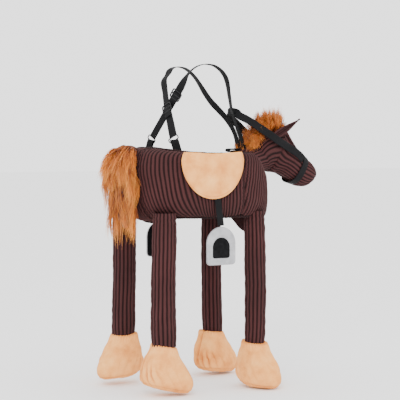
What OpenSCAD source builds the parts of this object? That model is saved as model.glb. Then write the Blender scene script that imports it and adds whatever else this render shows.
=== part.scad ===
// Wearable ride-on horse costume: a padded corduroy body worn round the waist, hung from two
// crossed shoulder straps, with a stuffed head and neck, four dangling legs, tail, saddle and stirrups.
// Heights in the modules are measured from the hoof soles; worn() then moves the whole model
// so that the origin lies between the two shoulder crowns, on the wearer's shoulders.
// +X points to the horse's nose, +Y to its left side, +Z up.

/* [Overall] */
// Height of the shoulder crowns, where the straps rest, above the soles
crown_h = 961; // [930:1:1000]
// Thickness of the corduroy covers with their backing
cover_t = 4; // [3:0.5:5]
// Clearance between a cover and the filling inside it
filling_gap = 1.8; // [1.5:0.1:2.5]

/* [Body] */
// Length of the body ring from rump to chest
body_l = 466; // [460:1:470]
// Width of the body ring over the flanks
body_w = 364; // [354:2:368]
// Length of the waist opening
waist_l = 270; // [250:2:280]
// Width of the waist opening
waist_w = 250; // [230:2:256]
// Height of the flank tops
flank_top = 700; // [690:1:705]
// Height of the belly hem
hem_h = 516; // [514:1:522]

/* [Legs and hooves] */
// Diameter of a stuffed front leg
front_leg_d = 62; // [56:1:66]
// Diameter of a stuffed hind leg
hind_leg_d = 73; // [66:1:74]
// Distance of each leg's centre from the middle plane
leg_y = 127; // [120:1:130]
// Position of the front legs along the body
front_leg_x = 143; // [138:1:148]
// Position of the hind legs along the body
hind_leg_x = -165; // [-170:1:-160]
// Height of a stuffed hoof
hoof_h = 126; // [120:1:134]
// Length of a stuffed hoof from heel to toe
hoof_l = 160; // [152:1:166]
// Width of a stuffed hoof
hoof_w = 106; // [96:1:112]

/* [Webbing] */
// Width of the shoulder straps
strap_w = 25; // [20:1:26]
// Thickness of all webbing
web_t = 2; // [1.5:0.1:2.4]
// Width of the reins and the noseband
rein_w = 24; // [18:1:25]

/* [Stirrups] */
// Width of a stirrup plate
stirrup_w = 95; // [85:1:100]
// Height of a stirrup plate
stirrup_h = 110; // [100:1:114]
// Distance of the stirrup's middle from the middle plane
stirrup_y = 184.4; // [184.2:0.1:184.6]

/* [Hidden] */

CORDUROY = [0.40, 0.25, 0.24];
PLUSH = [0.93, 0.78, 0.60];
FUR = [0.80, 0.48, 0.22];
WEBBING = [0.20, 0.20, 0.21];
SILVER = [0.80, 0.80, 0.82];
WADDING = [0.93, 0.93, 0.90];
LINING = [0.25, 0.13, 0.13];

RIGHT = -1;
LEFT = 1;

// ---- shapes shared by several pieces ----

function unit(v) = v / norm(v);

function signed_power(v, p) = sign(v) * pow(abs(v), p);

// Point at angle a on a superellipse of unit half-size with exponent e
function super(a, e) = [signed_power(cos(a), 2 / e), signed_power(sin(a), 2 / e)];

function bump(x, centre, width) = exp(-pow((x - centre) / width, 2));

// Solid through rings of equally many points, each ring anticlockwise about the direction of travel
module loft(rings, closed = false) {
    n = len(rings[0]);
    m = len(rings);
    sides = [for (i = [0 : (closed ? m - 1 : m - 2)]) for (j = [0 : n - 1])
        let (a = i * n + j, b = i * n + (j + 1) % n,
             c = ((i + 1) % m) * n + (j + 1) % n, d = ((i + 1) % m) * n + j)
        each [[a, c, b], [a, d, c]]];
    first = [for (j = [0 : n / 2 - 2]) each [[j, j + 1, n - 1 - j], [j + 1, n - 2 - j, n - 1 - j]]];
    last = [for (f = first) [for (k = [2, 1, 0]) (m - 1) * n + f[k]]];
    polyhedron([for (r = rings) each r], closed ? sides : concat(sides, first, last));
}

// Flat band along points, whose faces look along the normals
module band(points, normals, width, thick) {
    last = len(points) - 1;
    loft([for (i = [0 : last])
        let (t = unit(points[min(i + 1, last)] - points[max(i - 1, 0)]),
             w = unit(cross(t, normals[i])) * width / 2,
             n = unit(cross(w, t)) * thick / 2)
        [points[i] + n - w, points[i] + n + w, points[i] - n + w, points[i] - n - w]]);
}

// Points of a smooth curve through hand-chosen points, with steps between each pair
function curve(p, steps) = let (last = len(p) - 1)
    [for (i = [0 : last - 1]) for (s = [0 : steps - 1])
        let (u = s / steps, a = p[max(i - 1, 0)], b = p[i], c = p[i + 1], d = p[min(i + 2, last)])
        b + (c - a) * u / 2 + (2 * a - 5 * b + 4 * c - d) * u * u / 2
          + (3 * b - a - 3 * c + d) * u * u * u / 2,
     p[last]];

module worn() {
    translate([0, 0, -crown_h]) children();
}

// ---- the padded body ring ----

BODY_X = -1;
WAIST_X = 30;
WAIST_E = 2.3;
SECTION_E = 3;
RUMP_TUCK = 34;
FACE_STEP = 10;

// The ring is a little squarer at the rump, where it covers the hind legs
function plan_e(t) = 2.6 - 0.3 * cos(t);
function outer_plan(t) = let (s = super(t, plan_e(t))) [BODY_X + s[0] * body_l / 2, s[1] * body_w / 2];
function waist_plan(t) = let (s = super(t, WAIST_E)) [WAIST_X + s[0] * waist_l / 2, s[1] * waist_w / 2];

// The rump stands a little higher than the flanks
function top_z(t) = flank_top + 17 * pow(max(0, -cos(t)), 2);
// The hem hangs a little lower under the tail, and the chest panel hangs down between the front legs
function hem_z(t) = hem_h - 12 * pow(max(0, -cos(t)), 24) - 58 * pow(max(0, cos(t)), 14);

// Point on the ring's section: t goes round the waist, a round the section, depth is measured inwards
function ring_point(t, a, depth) =
    let (o = outer_plan(t), w = waist_plan(t), half = norm(o - w) / 2, dir = (o - w) / norm(o - w),
         s = super(a, SECTION_E), mid = (o + w) / 2, r = (half - depth) * s[0],
         half_z = (top_z(t) - hem_z(t)) / 2,
         tuck = RUMP_TUCK * pow(max(0, -cos(t)), 3) * pow((1 - s[1]) / 2, 2))
    [mid[0] + r * dir[0] + tuck, mid[1] + r * dir[1],
     (top_z(t) + hem_z(t)) / 2 + (half_z - depth) * s[1]];

// Strip of the ring's skin between two section angles and two depths
function strip(t, a0, a1, d0, d1) =
    let (steps = max(1, round((a1 - a0) / FACE_STEP)))
    concat([for (i = [0 : steps]) ring_point(t, a0 + (a1 - a0) * i / steps, d0)],
           [for (i = [steps : -1 : 0]) ring_point(t, a0 + (a1 - a0) * i / steps, d1)]);

COVER_LOW = -84;
COVER_HIGH = 90;
SEAM = 0.25;

// One cover panel of the ring, from angle t0 to t1 round the waist
module body_panel(t0, t1) {
    steps = ceil((t1 - t0) / FACE_STEP);
    color(CORDUROY) loft([for (i = [steps : -1 : 0])
        strip(t0 + SEAM + (t1 - t0 - 2 * SEAM) * i / steps, COVER_LOW, COVER_HIGH, 0, cover_t)]);
}

RUMP_EDGE = 165;
CHEST_EDGE = 75;

module rump_panel() { body_panel(RUMP_EDGE, 360 - RUMP_EDGE); }
module flank_left() { body_panel(CHEST_EDGE, RUMP_EDGE); }
module flank_right() { body_panel(360 - RUMP_EDGE, 360 - CHEST_EDGE); }
module chest_panel() { body_panel(-CHEST_EDGE, CHEST_EDGE); }

// A whole ring of skin, between two section angles and two depths
module full_strip(a0, a1, d0, d1) {
    loft([for (t = [360 - FACE_STEP : -FACE_STEP : 0]) strip(t, a0, a1, d0, d1)], closed = true);
}

module body_lining() { color(LINING) full_strip(98, 266, 0, 2); }
module waist_binding() { color(CORDUROY) full_strip(91, 97, -1.5, cover_t); }
module belly_binding() { color(CORDUROY) full_strip(267.5, 274.5, -0.6, cover_t); }

// The filling stands a little further from the cover at the chest, where the hem dips
CHEST_SLACK = 1.2;

module body_filling() {
    color(WADDING) loft([for (t = [360 - FACE_STEP : -FACE_STEP : 0])
        [for (a = [0 : 20 : 340]) ring_point(t, a, cover_t + filling_gap + CHEST_SLACK * max(0, cos(t)))]],
        closed = true);
}

// ---- shoulder straps and what is sewn to the body for them ----

RING_OPEN = 7;
RING_BAR = 3;

TAB_X = -101;
TAB_Y = 68;
RING_Z = 743;
RING_REACH = RING_OPEN / 2 + RING_BAR;

// A strap runs straight up the wearer's back from its ring to the shoulder blade of the other side,
// and the left-shoulder strap lies outside the right one where they cross
BLADE = [-54, 54, 918];
OUTER_SHIFT = 12;
BACK_RUN = BLADE - [TAB_X, -TAB_Y, RING_Z];

function back_point(along, side) =
    [TAB_X, -TAB_Y, RING_Z] + unit(BACK_RUN) * (RING_REACH + 1.2) * (1 - along)
    + BACK_RUN * along - [side == LEFT ? OUTER_SHIFT * min(1, along * 1.6) : 0, 0, 0];

// Over the shoulder and down the chest, listed for the left shoulder
CROWN = [[-46, 66, 938], [-32, 77, 953], [-13, 84, 961], [6, 86, 962], [26, 88, 958],
         [46, 89, 946], [62, 87, 930]];
OVER_CHEST = [[73, 82, 912], [84, 72, 888], [98, 57, 859], [114, 39, 834], [132, 24, 808],
              [150, 15, 777], [163, 14, 748], [170, 14, 726]];

function strap_route(side) = [for (p = concat([for (f = [0 : 0.2 : 1]) back_point(f, side)],
    CROWN, OVER_CHEST)) [p[0], side * p[1], p[2]]];
// The straps lie flat on the wearer: backwards behind, upwards on the shoulder, forwards in front
function strap_normals(route) = [for (p = route) [p[0] > 0 ? max(p[0], 20) : min(p[0], -1), 0,
    max(0, p[2] - 890) * 1.5]];

module shoulder_strap(side) {
    route = strap_route(side);
    color(WEBBING) band(route, strap_normals(route), strap_w, web_t);
}

module shoulder_strap_right() { shoulder_strap(RIGHT); }
module shoulder_strap_left() { shoulder_strap(LEFT); }

// A webbing tab stands up from the waist edge and holds the ring, which leans with its strap
TAB_LEAN = 18;
RING_LEAN = 34;
TAB_TOP = RING_REACH + 4;
TAB_LOW = 34;

module at_ring(side, lean) {
    translate([TAB_X, side * TAB_Y, RING_Z]) rotate([side * lean, 0, 0]) children();
}

module rear_tab(side) {
    color(WEBBING) at_ring(side, TAB_LEAN) translate([-web_t, -strap_w / 2, -TAB_LOW])
        cube([2 * web_t, strap_w, TAB_LOW - TAB_TOP]);
}

module rear_tab_right() { rear_tab(RIGHT); }
module rear_tab_left() { rear_tab(LEFT); }

module strap_ring(side) {
    outer_w = strap_w + 8;
    color("black") at_ring(side, RING_LEAN) difference() {
        translate([-1.5, -outer_w / 2, -RING_REACH]) cube([3, outer_w, 2 * RING_REACH]);
        translate([-5, -strap_w / 2 - 1, -RING_OPEN / 2]) cube([10, strap_w + 2, RING_OPEN]);
    }
}

module strap_ring_right() { strap_ring(RIGHT); }
module strap_ring_left() { strap_ring(LEFT); }

// Both straps end together in a stitched tab in front of the wearer
module front_tab() {
    color(WEBBING) translate([170, -28, 691]) cube([5.5, 56, 34]);
}

// Adjuster: a sleeve round the webbing with a bar across its outer face
SLIDER_L = 24;
SLIDER_PASS = 5;
SLIDER_WALL = 2;
SLIDER_SIDE = 3;
RIGHT_SLIDER = 0.73;
LEFT_SLIDER = 0.5;

module strap_slider(side, along) {
    low = back_point(0.2, side);
    high = back_point(0.8, side);
    flip = [1, side, 1];
    up_line = high - low;
    up = unit([for (i = [0 : 2]) up_line[i] * flip[i]]);
    place = [for (i = [0 : 2]) back_point(along, side)[i] * flip[i]];
    across = unit(cross(up, [-1, 0, 0]));
    out = unit(cross(across, up));
    pass_w = strap_w + 1.6;
    color("black") multmatrix([
        [out[0], across[0], up[0], place[0]],
        [out[1], across[1], up[1], place[1]],
        [out[2], across[2], up[2], place[2]]])
        difference() {
            thick = SLIDER_PASS + 2 * SLIDER_WALL;
            cube([thick, pass_w + 2 * SLIDER_SIDE, SLIDER_L], center = true);
            cube([SLIDER_PASS, pass_w, SLIDER_L + 2], center = true);
            for (z = [-1, 1])
                translate([0, -pass_w / 2, z * 6.5 - 3]) cube([thick, pass_w, 6]);
        }
}

module strap_slider_right() { strap_slider(RIGHT, RIGHT_SLIDER); }
module strap_slider_left() { strap_slider(LEFT, LEFT_SLIDER); }

// Short loop of webbing on the withers to hold on to
module withers_handle() {
    color(WEBBING) translate([124, -11, 703]) rotate([0, -9, 0]) difference() {
        cube([46, 22, 14]);
        translate([6, -1, 2.5]) cube([34, 24, 9]);
    }
}

// ---- saddle and stirrups ----

FLAP_GAP = 6.5;
FLAP_T = 8;
FLAP_X = -30;
FLAP_L = 198;
FLAP_TOP = 691;
FLAP_DEPTH = 118;

// Section angle at which the ring's surface reaches a height
function section_angle(t, z) =
    let (mid = (top_z(t) + hem_z(t)) / 2, half_z = (top_z(t) - hem_z(t)) / 2)
    asin(signed_power((z - mid) / half_z, SECTION_E / 2));

// Angle round the waist at which the left flank reaches a place along the body
function plan_angle(x) =
    let (share = (x - BODY_X) * 2 / body_l, first = acos(signed_power(share, plan_e(90) / 2)))
    acos(signed_power(share, plan_e(first) / 2));

// A flap hangs over the flank with a straight top edge and a half-round lower edge
module saddle_flap(side) {
    columns = 14;
    rows = 6;
    rings = [for (i = [0 : columns])
        let (u = -1 + 2 * i / columns, t = side * plan_angle(FLAP_X + FLAP_L / 2 * u),
             top = section_angle(t, FLAP_TOP),
             low = section_angle(t, FLAP_TOP - FLAP_DEPTH * sqrt(max(0.02, 1 - u * u))))
        concat([for (j = [0 : rows]) ring_point(t, low + (top - low) * j / rows, -FLAP_GAP - FLAP_T)],
               [for (j = [rows : -1 : 0]) ring_point(t, low + (top - low) * j / rows, -FLAP_GAP)])];
    color(PLUSH) loft(side == RIGHT ? [for (i = [columns : -1 : 0]) rings[i]] : rings);
}

module saddle_flap_right() { saddle_flap(RIGHT); }
module saddle_flap_left() { saddle_flap(LEFT); }

STIRRUP_X = -9;
STIRRUP_TOP = 489;
STIRRUP_T = 7;
HANG_X = -24;
HANG_Z = 606;
STRAP_GAP = 1.8;

// The strap hangs from under the flap and leans a little forward to the plate
module stirrup_strap(side) {
    y = side * stirrup_y;
    low_z = STIRRUP_TOP + STRAP_GAP;
    color(WEBBING) band([[HANG_X, y, HANG_Z + 8], [HANG_X, y, HANG_Z], [STIRRUP_X, y, low_z]],
        [[0, side, 0], [0, side, 0], [0, side, 0]], 20, web_t);
}

module stirrup_strap_right() { stirrup_strap(RIGHT); }
module stirrup_strap_left() { stirrup_strap(LEFT); }

// Stirrup outline: an arched top on a straight foot with rounded corners
module stirrup_outline(w, h) {
    foot_r = w * 0.12;
    union() {
        translate([0, -w / 2]) circle(d = w, $fn = 64);
        translate([-w / 2, foot_r - h]) square([w, h - w / 2 - foot_r]);
        translate([foot_r - w / 2, -h]) square([w - 2 * foot_r, foot_r]);
        for (x = [-1, 1]) translate([x * (w / 2 - foot_r), foot_r - h]) circle(r = foot_r, $fn = 32);
    }
}

module at_stirrup(side) {
    translate([STIRRUP_X, side * stirrup_y, STIRRUP_TOP]) rotate([90, 0, 0]) children();
}

// The felt plate fills the rim's window and shows at the back
module stirrup_plate(side) {
    color("black") at_stirrup(side) {
        translate([0, 0, -1.5]) linear_extrude(3) stirrup_outline(stirrup_w, stirrup_h);
    }
}

module stirrup_plate_right() { stirrup_plate(RIGHT); }
module stirrup_plate_left() { stirrup_plate(LEFT); }

// Silver rim on the outer face, with a D-shaped window
module stirrup_rim(side) {
    color(SILVER) at_stirrup(side)
        translate([0, 0, side == RIGHT ? 1.5 : -1.5 - 2.5]) linear_extrude(2.5) difference() {
            stirrup_outline(stirrup_w, stirrup_h);
            translate([0, -31]) stirrup_outline(stirrup_w * 0.6, stirrup_h * 0.54);
        }
}

module stirrup_rim_right() { stirrup_rim(RIGHT); }
module stirrup_rim_left() { stirrup_rim(LEFT); }

// ---- neck and head ----

// Stations: x, z, direction of travel in the middle plane, half depth, half width
NECK = [[229, 686, 35, 47, 50], [235.8, 692.2, 26, 49.9, 51], [247.9, 700.2, 12, 54.3, 51],
        [263.1, 706, -3, 59.1, 50], [278.9, 708.4, -16, 63.7, 49], [289, 709, -23, 67, 49]];
HEAD = [[290, 708.6, -23, 68, 50], [296.2, 699.3, -22.8, 62.7, 50.5], [310.2, 687, -22.6, 51.5, 51],
        [333, 675, -24.7, 46.5, 49.5], [359, 659.5, -25, 45.6, 46], [381.7, 642.5, -28, 45, 42],
        [402, 633.4, -25, 42.6, 38.5], [418.5, 626.8, -26, 34.9, 34], [433, 624.5, -27, 21.5, 24],
        [441, 624, -27, 11, 13], [445, 623.5, -27, 4, 5]];
HEAD_E = 2.4;
RING_N = 20;

function station_ring(s, inset) =
    let (up = [-sin(s[2]), 0, cos(s[2])], across = [0, -1, 0])
    [for (j = [0 : RING_N - 1]) let (q = super(360 * j / RING_N, HEAD_E))
        [s[0], 0, s[1]] + (s[3] - inset) * q[0] * up + (s[4] - inset) * q[1] * across];

// Tube-shaped cover along stations, open at both ends
module tube_cover(stations) {
    last = len(stations) - 1;
    color(CORDUROY) loft(concat([for (s = stations) station_ring(s, 0)],
        [for (i = [last : -1 : 0]) station_ring(stations[i], cover_t)]), closed = true);
}

module neck_cover() { tube_cover(NECK); }

module neck_filling() {
    color(WADDING) loft([for (s = NECK) station_ring(s, cover_t + filling_gap)]);
}

// The head's cover closes over the muzzle
HEAD_HOLLOW = 8;

module head_cover() {
    color(CORDUROY) loft(concat(
        [for (i = [HEAD_HOLLOW : -1 : 0]) station_ring(HEAD[i], cover_t)],
        [for (s = HEAD) station_ring(s, 0)]));
}

module head_filling() {
    shift = 0.6 * [cos(HEAD[0][2]), 0, sin(HEAD[0][2])];
    stations = [for (i = [0 : HEAD_HOLLOW - 1]) HEAD[i]];
    color(WADDING) loft([for (s = stations)
        [for (p = station_ring(s, cover_t + filling_gap)) p + shift]]);
}

// Fur crest: upright ovals that follow the neck from the withers to the poll
MANE = [[186, 728, 15], [200, 742, 24], [216, 756, 28], [232, 770, 30],
        [246, 782, 30], [256, 790, 28], [262, 795, 22]];
MANE_HALF_W = 34;

function crest_ring(x, z, half_z, half_w) =
    [for (j = [0 : 15]) let (a = 22.5 * j) [x, -half_w * sin(a), z + half_z * cos(a)]];

module mane() {
    color(FUR) loft([for (s = MANE) crest_ring(s[0], s[1] + 12, s[2], MANE_HALF_W * s[2] / 30)]);
}

module forelock() {
    color(FUR) loft([for (s = [[263, 802, 20, 22], [270, 806, 25, 27], [284, 808, 27, 30], [298, 807, 25, 30],
        [310, 804, 19, 24], [317, 802, 10, 14]]) crest_ring(s[0], s[1], s[2], s[3])]);
}

// A folded leaf-shaped ear from root to tip
module ear(root, tip, face, half_w, thick) {
    n = 8;
    along = tip - root;
    up = unit(face - along * (face * along) / (along * along));
    side_dir = unit(cross(up, along));
    color(CORDUROY) loft([for (i = [0 : n])
        let (u = i / n, w = half_w * (0.55 + 0.9 * u) * sqrt(1.02 - u), c = root + along * u,
             cup = up * w * 0.35)
        [c - side_dir * w + cup, c - up * thick / 2, c + side_dir * w + cup, c + up * thick / 2]]);
}

EAR_ROOT = [303, 40, 772];
EAR_TIP = [356, 47, 805];

module ear_right() {
    ear([EAR_ROOT[0], -EAR_ROOT[1], EAR_ROOT[2]], [EAR_TIP[0], -EAR_TIP[1], EAR_TIP[2]],
        [0.3, -0.55, 0.75], 12, 6);
}

module ear_left() { ear([334, 36, 738], [404, 37, 712], [-0.3, -0.85, 0.35], 16, 6); }

module eye(side) {
    color("black") translate([330, side * 49.6, 703]) scale([1, 0.4, 1]) sphere(d = 9, $fn = 24);
}

module eye_right() { eye(RIGHT); }
module eye_left() { eye(LEFT); }

// Noseband: a webbing loop round the muzzle, which narrows with it
NOSE_X = 372.5;
NOSE_Z = 649.4;
NOSE_TILT = -28;
NOSE_HALF_D = 48.6;
NOSE_HALF_W = 45.4;
NOSE_TAPER = 0.12;

function nose_loop(grow, along) =
    let (up = [-sin(NOSE_TILT), 0, cos(NOSE_TILT)], ahead = [cos(NOSE_TILT), 0, sin(NOSE_TILT)],
         wider = grow - along * NOSE_TAPER)
    [for (j = [0 : 27]) let (q = super(360 * j / 28, HEAD_E))
        [NOSE_X, 0, NOSE_Z] + (NOSE_HALF_D + wider) * q[0] * up
        + (NOSE_HALF_W + wider) * q[1] * [0, -1, 0] + along * ahead];

module noseband() {
    color(WEBBING) loft([nose_loop(web_t, -rein_w / 2), nose_loop(web_t, rein_w / 2),
        nose_loop(0, rein_w / 2), nose_loop(0, -rein_w / 2)], closed = true);
}

// Reins: one band from the noseband's right side, round in front of the front straps, to its left side
REIN_SIDE = [[354, -52, 693], [334, -55, 705], [310, -57, 717], [286, -58, 729], [262, -57, 741],
             [238, -55, 756], [214, -51, 772], [190, -47, 789], [166, -42, 803], [144, -36, 814],
             [141, -27, 822]];
REIN_BACK = [[136, -10, 826], [136, 10, 826]];

module reins() {
    mirrored = [for (i = [len(REIN_SIDE) - 1 : -1 : 0])
        [REIN_SIDE[i][0], -REIN_SIDE[i][1], REIN_SIDE[i][2]]];
    route = concat(REIN_SIDE, REIN_BACK, mirrored);
    normals = [for (p = route) [p[0] < 142 ? -1 : 0, p[1] / 30, 0]];
    color(WEBBING) band(route, normals, rein_w, web_t);
}

// ---- legs and hooves ----

HIP_GAP = 2;
ANKLE_GAP = 12;

// Stuffed leg: a tube with a round top that turns in the body's hem
module leg_solid(leg_d, inset, low) {
    r = leg_d / 2 - inset;
    hip_z = hem_h - HIP_GAP - leg_d / 2;
    rotate_extrude($fn = 40) union() {
        translate([0, low]) square([r, hip_z - low]);
        intersection() {
            translate([0, hip_z]) circle(r = r, $fn = 48);
            translate([0, hip_z]) square([r, r]);
        }
    }
}

module leg(x, side, leg_d, seam_z) {
    low = seam_z + ANKLE_GAP;
    color(CORDUROY) translate([x, side * leg_y, 0]) difference() {
        leg_solid(leg_d, 0, low);
        leg_solid(leg_d, cover_t, low - 1);
    }
}

module leg_filling(x, side, leg_d, seam_z) {
    color(WADDING) translate([x, side * leg_y, 0])
        leg_solid(leg_d, cover_t + filling_gap, seam_z + ANKLE_GAP);
}

// Hoof heights, positions along the toe, half lengths and half widths, as shares of its size
HOOF = [[0, 0.22, 0.22, 0.26], [0.035, 0.20, 0.38, 0.40], [0.12, 0.18, 0.475, 0.48],
        [0.28, 0.16, 0.50, 0.50], [0.46, 0.125, 0.455, 0.475], [0.64, 0.08, 0.375, 0.435],
        [0.82, 0.035, 0.285, 0.375], [0.95, 0.005, 0.225, 0.345], [1, 0, 0.205, 0.33]];
HOOF_E = 2.25;

function hoof_ring(s, inset) =
    [for (j = [0 : 19]) let (q = super(18 * j, HOOF_E))
        [s[1] * hoof_l + (s[2] * hoof_l - inset) * q[0], (s[3] * hoof_w - inset) * q[1],
         max(s[0] * hoof_h, inset) - hoof_h]];

// Each hoof hangs at its own twist: the seam's height, then the toe's turn and its dip
module at_ankle(x, side, seam_z, turn, dip) {
    translate([x, side * leg_y, seam_z]) rotate([0, 0, turn]) rotate([0, dip, 0]) children();
}

module hoof() {
    last = len(HOOF) - 1;
    color(PLUSH) loft(concat([for (s = HOOF) hoof_ring(s, 0)],
        [for (i = [last : -1 : 1]) hoof_ring(HOOF[i], cover_t)]));
}

module hoof_filling() {
    color(WADDING) loft([for (i = [1 : len(HOOF) - 1]) hoof_ring(HOOF[i], cover_t + filling_gap)]);
}

// Seam height, toe turn and toe dip of each hoof
FRONT_RIGHT = [139, -78, 6];
FRONT_LEFT = [142, 14, 6];
HIND_RIGHT = [149, -12, 12];
HIND_LEFT = [155, -165, 6];

module leg_front_right() { leg(front_leg_x, RIGHT, front_leg_d, FRONT_RIGHT[0]); }
module leg_front_left() { leg(front_leg_x, LEFT, front_leg_d, FRONT_LEFT[0]); }
module leg_hind_right() { leg(hind_leg_x, RIGHT, hind_leg_d, HIND_RIGHT[0]); }
module leg_hind_left() { leg(hind_leg_x, LEFT, hind_leg_d, HIND_LEFT[0]); }
module leg_filling_front_right() { leg_filling(front_leg_x, RIGHT, front_leg_d, FRONT_RIGHT[0]); }
module leg_filling_front_left() { leg_filling(front_leg_x, LEFT, front_leg_d, FRONT_LEFT[0]); }
module leg_filling_hind_right() { leg_filling(hind_leg_x, RIGHT, hind_leg_d, HIND_RIGHT[0]); }
module leg_filling_hind_left() { leg_filling(hind_leg_x, LEFT, hind_leg_d, HIND_LEFT[0]); }

module at_hoof(x, side, hang) {
    at_ankle(x, side, hang[0], hang[1], hang[2]) children();
}

module hoof_front_right() { at_hoof(front_leg_x, RIGHT, FRONT_RIGHT) hoof(); }
module hoof_front_left() { at_hoof(front_leg_x, LEFT, FRONT_LEFT) hoof(); }
module hoof_hind_right() { at_hoof(hind_leg_x, RIGHT, HIND_RIGHT) hoof(); }
module hoof_hind_left() { at_hoof(hind_leg_x, LEFT, HIND_LEFT) hoof(); }
module hoof_filling_front_right() { at_hoof(front_leg_x, RIGHT, FRONT_RIGHT) hoof_filling(); }
module hoof_filling_front_left() { at_hoof(front_leg_x, LEFT, FRONT_LEFT) hoof_filling(); }
module hoof_filling_hind_right() { at_hoof(hind_leg_x, RIGHT, HIND_RIGHT) hoof_filling(); }
module hoof_filling_hind_left() { at_hoof(hind_leg_x, LEFT, HIND_LEFT) hoof_filling(); }

// ---- tail ----

// Stations: x, z, direction of travel, half depth, half width
TAIL = [[-227.5, 711, 137, 13, 30], [-238, 719, 165, 17, 46], [-250, 713, 215, 21, 58],
        [-257, 690, 250, 22, 66], [-260, 662, 266, 21, 70], [-261, 630, 270, 21, 72],
        [-259, 590, 272, 22, 70], [-255, 550, 274, 22, 64], [-248, 510, 277, 20, 54],
        [-240, 475, 278, 15, 42], [-234, 448, 279, 9, 28], [-231, 434, 280, 5, 12]];

module tail_hair() {
    color(FUR) loft([for (s = TAIL) station_ring(s, 0)]);
}

// Stuffed knob between the rump and the hair, on which the tail turns
module tail_dock() {
    color(CORDUROY) translate([-221.5, 0, 705]) sphere(d = 12, $fn = 32);
}

worn() rump_panel();
worn() flank_right();
worn() flank_left();
worn() chest_panel();
worn() body_lining();
worn() body_filling();
worn() waist_binding();
worn() belly_binding();
worn() rear_tab_right();
worn() rear_tab_left();
worn() strap_ring_right();
worn() strap_ring_left();
worn() shoulder_strap_right();
worn() shoulder_strap_left();
worn() front_tab();
worn() strap_slider_right();
worn() strap_slider_left();
worn() withers_handle();
worn() saddle_flap_right();
worn() saddle_flap_left();
worn() stirrup_strap_right();
worn() stirrup_strap_left();
worn() stirrup_plate_right();
worn() stirrup_plate_left();
worn() stirrup_rim_right();
worn() stirrup_rim_left();
worn() neck_cover();
worn() neck_filling();
worn() mane();
worn() head_cover();
worn() head_filling();
worn() forelock();
worn() ear_right();
worn() ear_left();
worn() eye_right();
worn() eye_left();
worn() noseband();
worn() reins();
worn() leg_front_right();
worn() leg_front_left();
worn() leg_hind_right();
worn() leg_hind_left();
worn() leg_filling_front_right();
worn() leg_filling_front_left();
worn() leg_filling_hind_right();
worn() leg_filling_hind_left();
worn() hoof_front_right();
worn() hoof_front_left();
worn() hoof_hind_right();
worn() hoof_hind_left();
worn() hoof_filling_front_right();
worn() hoof_filling_front_left();
worn() hoof_filling_hind_right();
worn() hoof_filling_hind_left();
worn() tail_dock();
worn() tail_hair();
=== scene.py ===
"""Looks of the wearable ride-on horse costume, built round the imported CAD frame.

Everything is in metres in the CAD's own frame: +X to the nose, +Y to the horse's left, +Z up, and the
origin between the two shoulder crowns. Heights written as h(...) are measured from the hoof soles.
"""

import math

import bmesh
import bpy
import numpy as np
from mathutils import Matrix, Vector


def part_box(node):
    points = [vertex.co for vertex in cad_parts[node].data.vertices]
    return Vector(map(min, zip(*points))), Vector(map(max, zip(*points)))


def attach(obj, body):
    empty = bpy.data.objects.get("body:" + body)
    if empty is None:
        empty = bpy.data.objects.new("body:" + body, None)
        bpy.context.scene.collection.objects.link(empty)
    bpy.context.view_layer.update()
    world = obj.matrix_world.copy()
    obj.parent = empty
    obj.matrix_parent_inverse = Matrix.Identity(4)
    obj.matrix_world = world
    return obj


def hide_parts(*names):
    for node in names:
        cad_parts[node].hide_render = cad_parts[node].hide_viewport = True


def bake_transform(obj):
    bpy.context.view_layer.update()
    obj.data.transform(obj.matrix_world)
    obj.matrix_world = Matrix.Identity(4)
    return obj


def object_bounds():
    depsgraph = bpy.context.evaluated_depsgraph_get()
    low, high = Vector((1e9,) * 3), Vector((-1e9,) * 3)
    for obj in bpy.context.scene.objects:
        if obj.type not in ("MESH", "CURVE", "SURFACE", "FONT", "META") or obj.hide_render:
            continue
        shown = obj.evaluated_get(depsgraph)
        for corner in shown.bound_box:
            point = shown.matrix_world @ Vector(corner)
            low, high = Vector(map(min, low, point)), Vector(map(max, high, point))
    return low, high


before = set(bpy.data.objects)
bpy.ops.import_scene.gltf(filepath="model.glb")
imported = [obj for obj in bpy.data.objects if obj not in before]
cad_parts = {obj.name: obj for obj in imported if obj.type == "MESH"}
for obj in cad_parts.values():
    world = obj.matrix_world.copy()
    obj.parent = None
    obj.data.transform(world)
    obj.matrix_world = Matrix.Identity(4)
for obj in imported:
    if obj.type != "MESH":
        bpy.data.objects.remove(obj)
CAD_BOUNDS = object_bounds()

# ---------------- shared sizes
CROWN_H = 0.961          # height of the shoulder crowns above the soles
COVER_T = 0.003          # thickness of the corduroy covers
WALE = 0.0125            # distance from one corduroy rib to the next
WALE_DEPTH = 0.0036      # height of a rib above its groove
WALE_STEPS = 10          # mesh columns across one rib
WEB_T = 0.0022           # thickness of the webbing
STRAP_W = 0.025          # widths of the straps, and of the reins and noseband
REIN_W = 0.024
WEFT_STEP = 0.0016       # distance between threads along the webbing
WARP_STEP = 0.0024       # distance between threads across the webbing
RIGHT, LEFT = -1, 1
ACROSS = np.array([0, -1.0, 0])
SIDES = {"right": RIGHT, "left": LEFT}


def h(height):
    """Height above the soles, as a coordinate of the frame."""
    return height - CROWN_H


# ---------------- maths helpers
def smooth(x, low, high):
    """0 below low, 1 above high, and a smooth step between."""
    t = np.clip((x - low) / (high - low), 0, 1)
    return t * t * (3 - 2 * t)


def bump(x, centre, width):
    return np.exp(-(((x - centre) / width) ** 2))


def signed_power(v, p):
    return np.sign(v) * np.abs(v) ** p


def superellipse(angle, exponent):
    return signed_power(np.cos(angle), 2 / exponent), signed_power(np.sin(angle), 2 / exponent)


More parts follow.
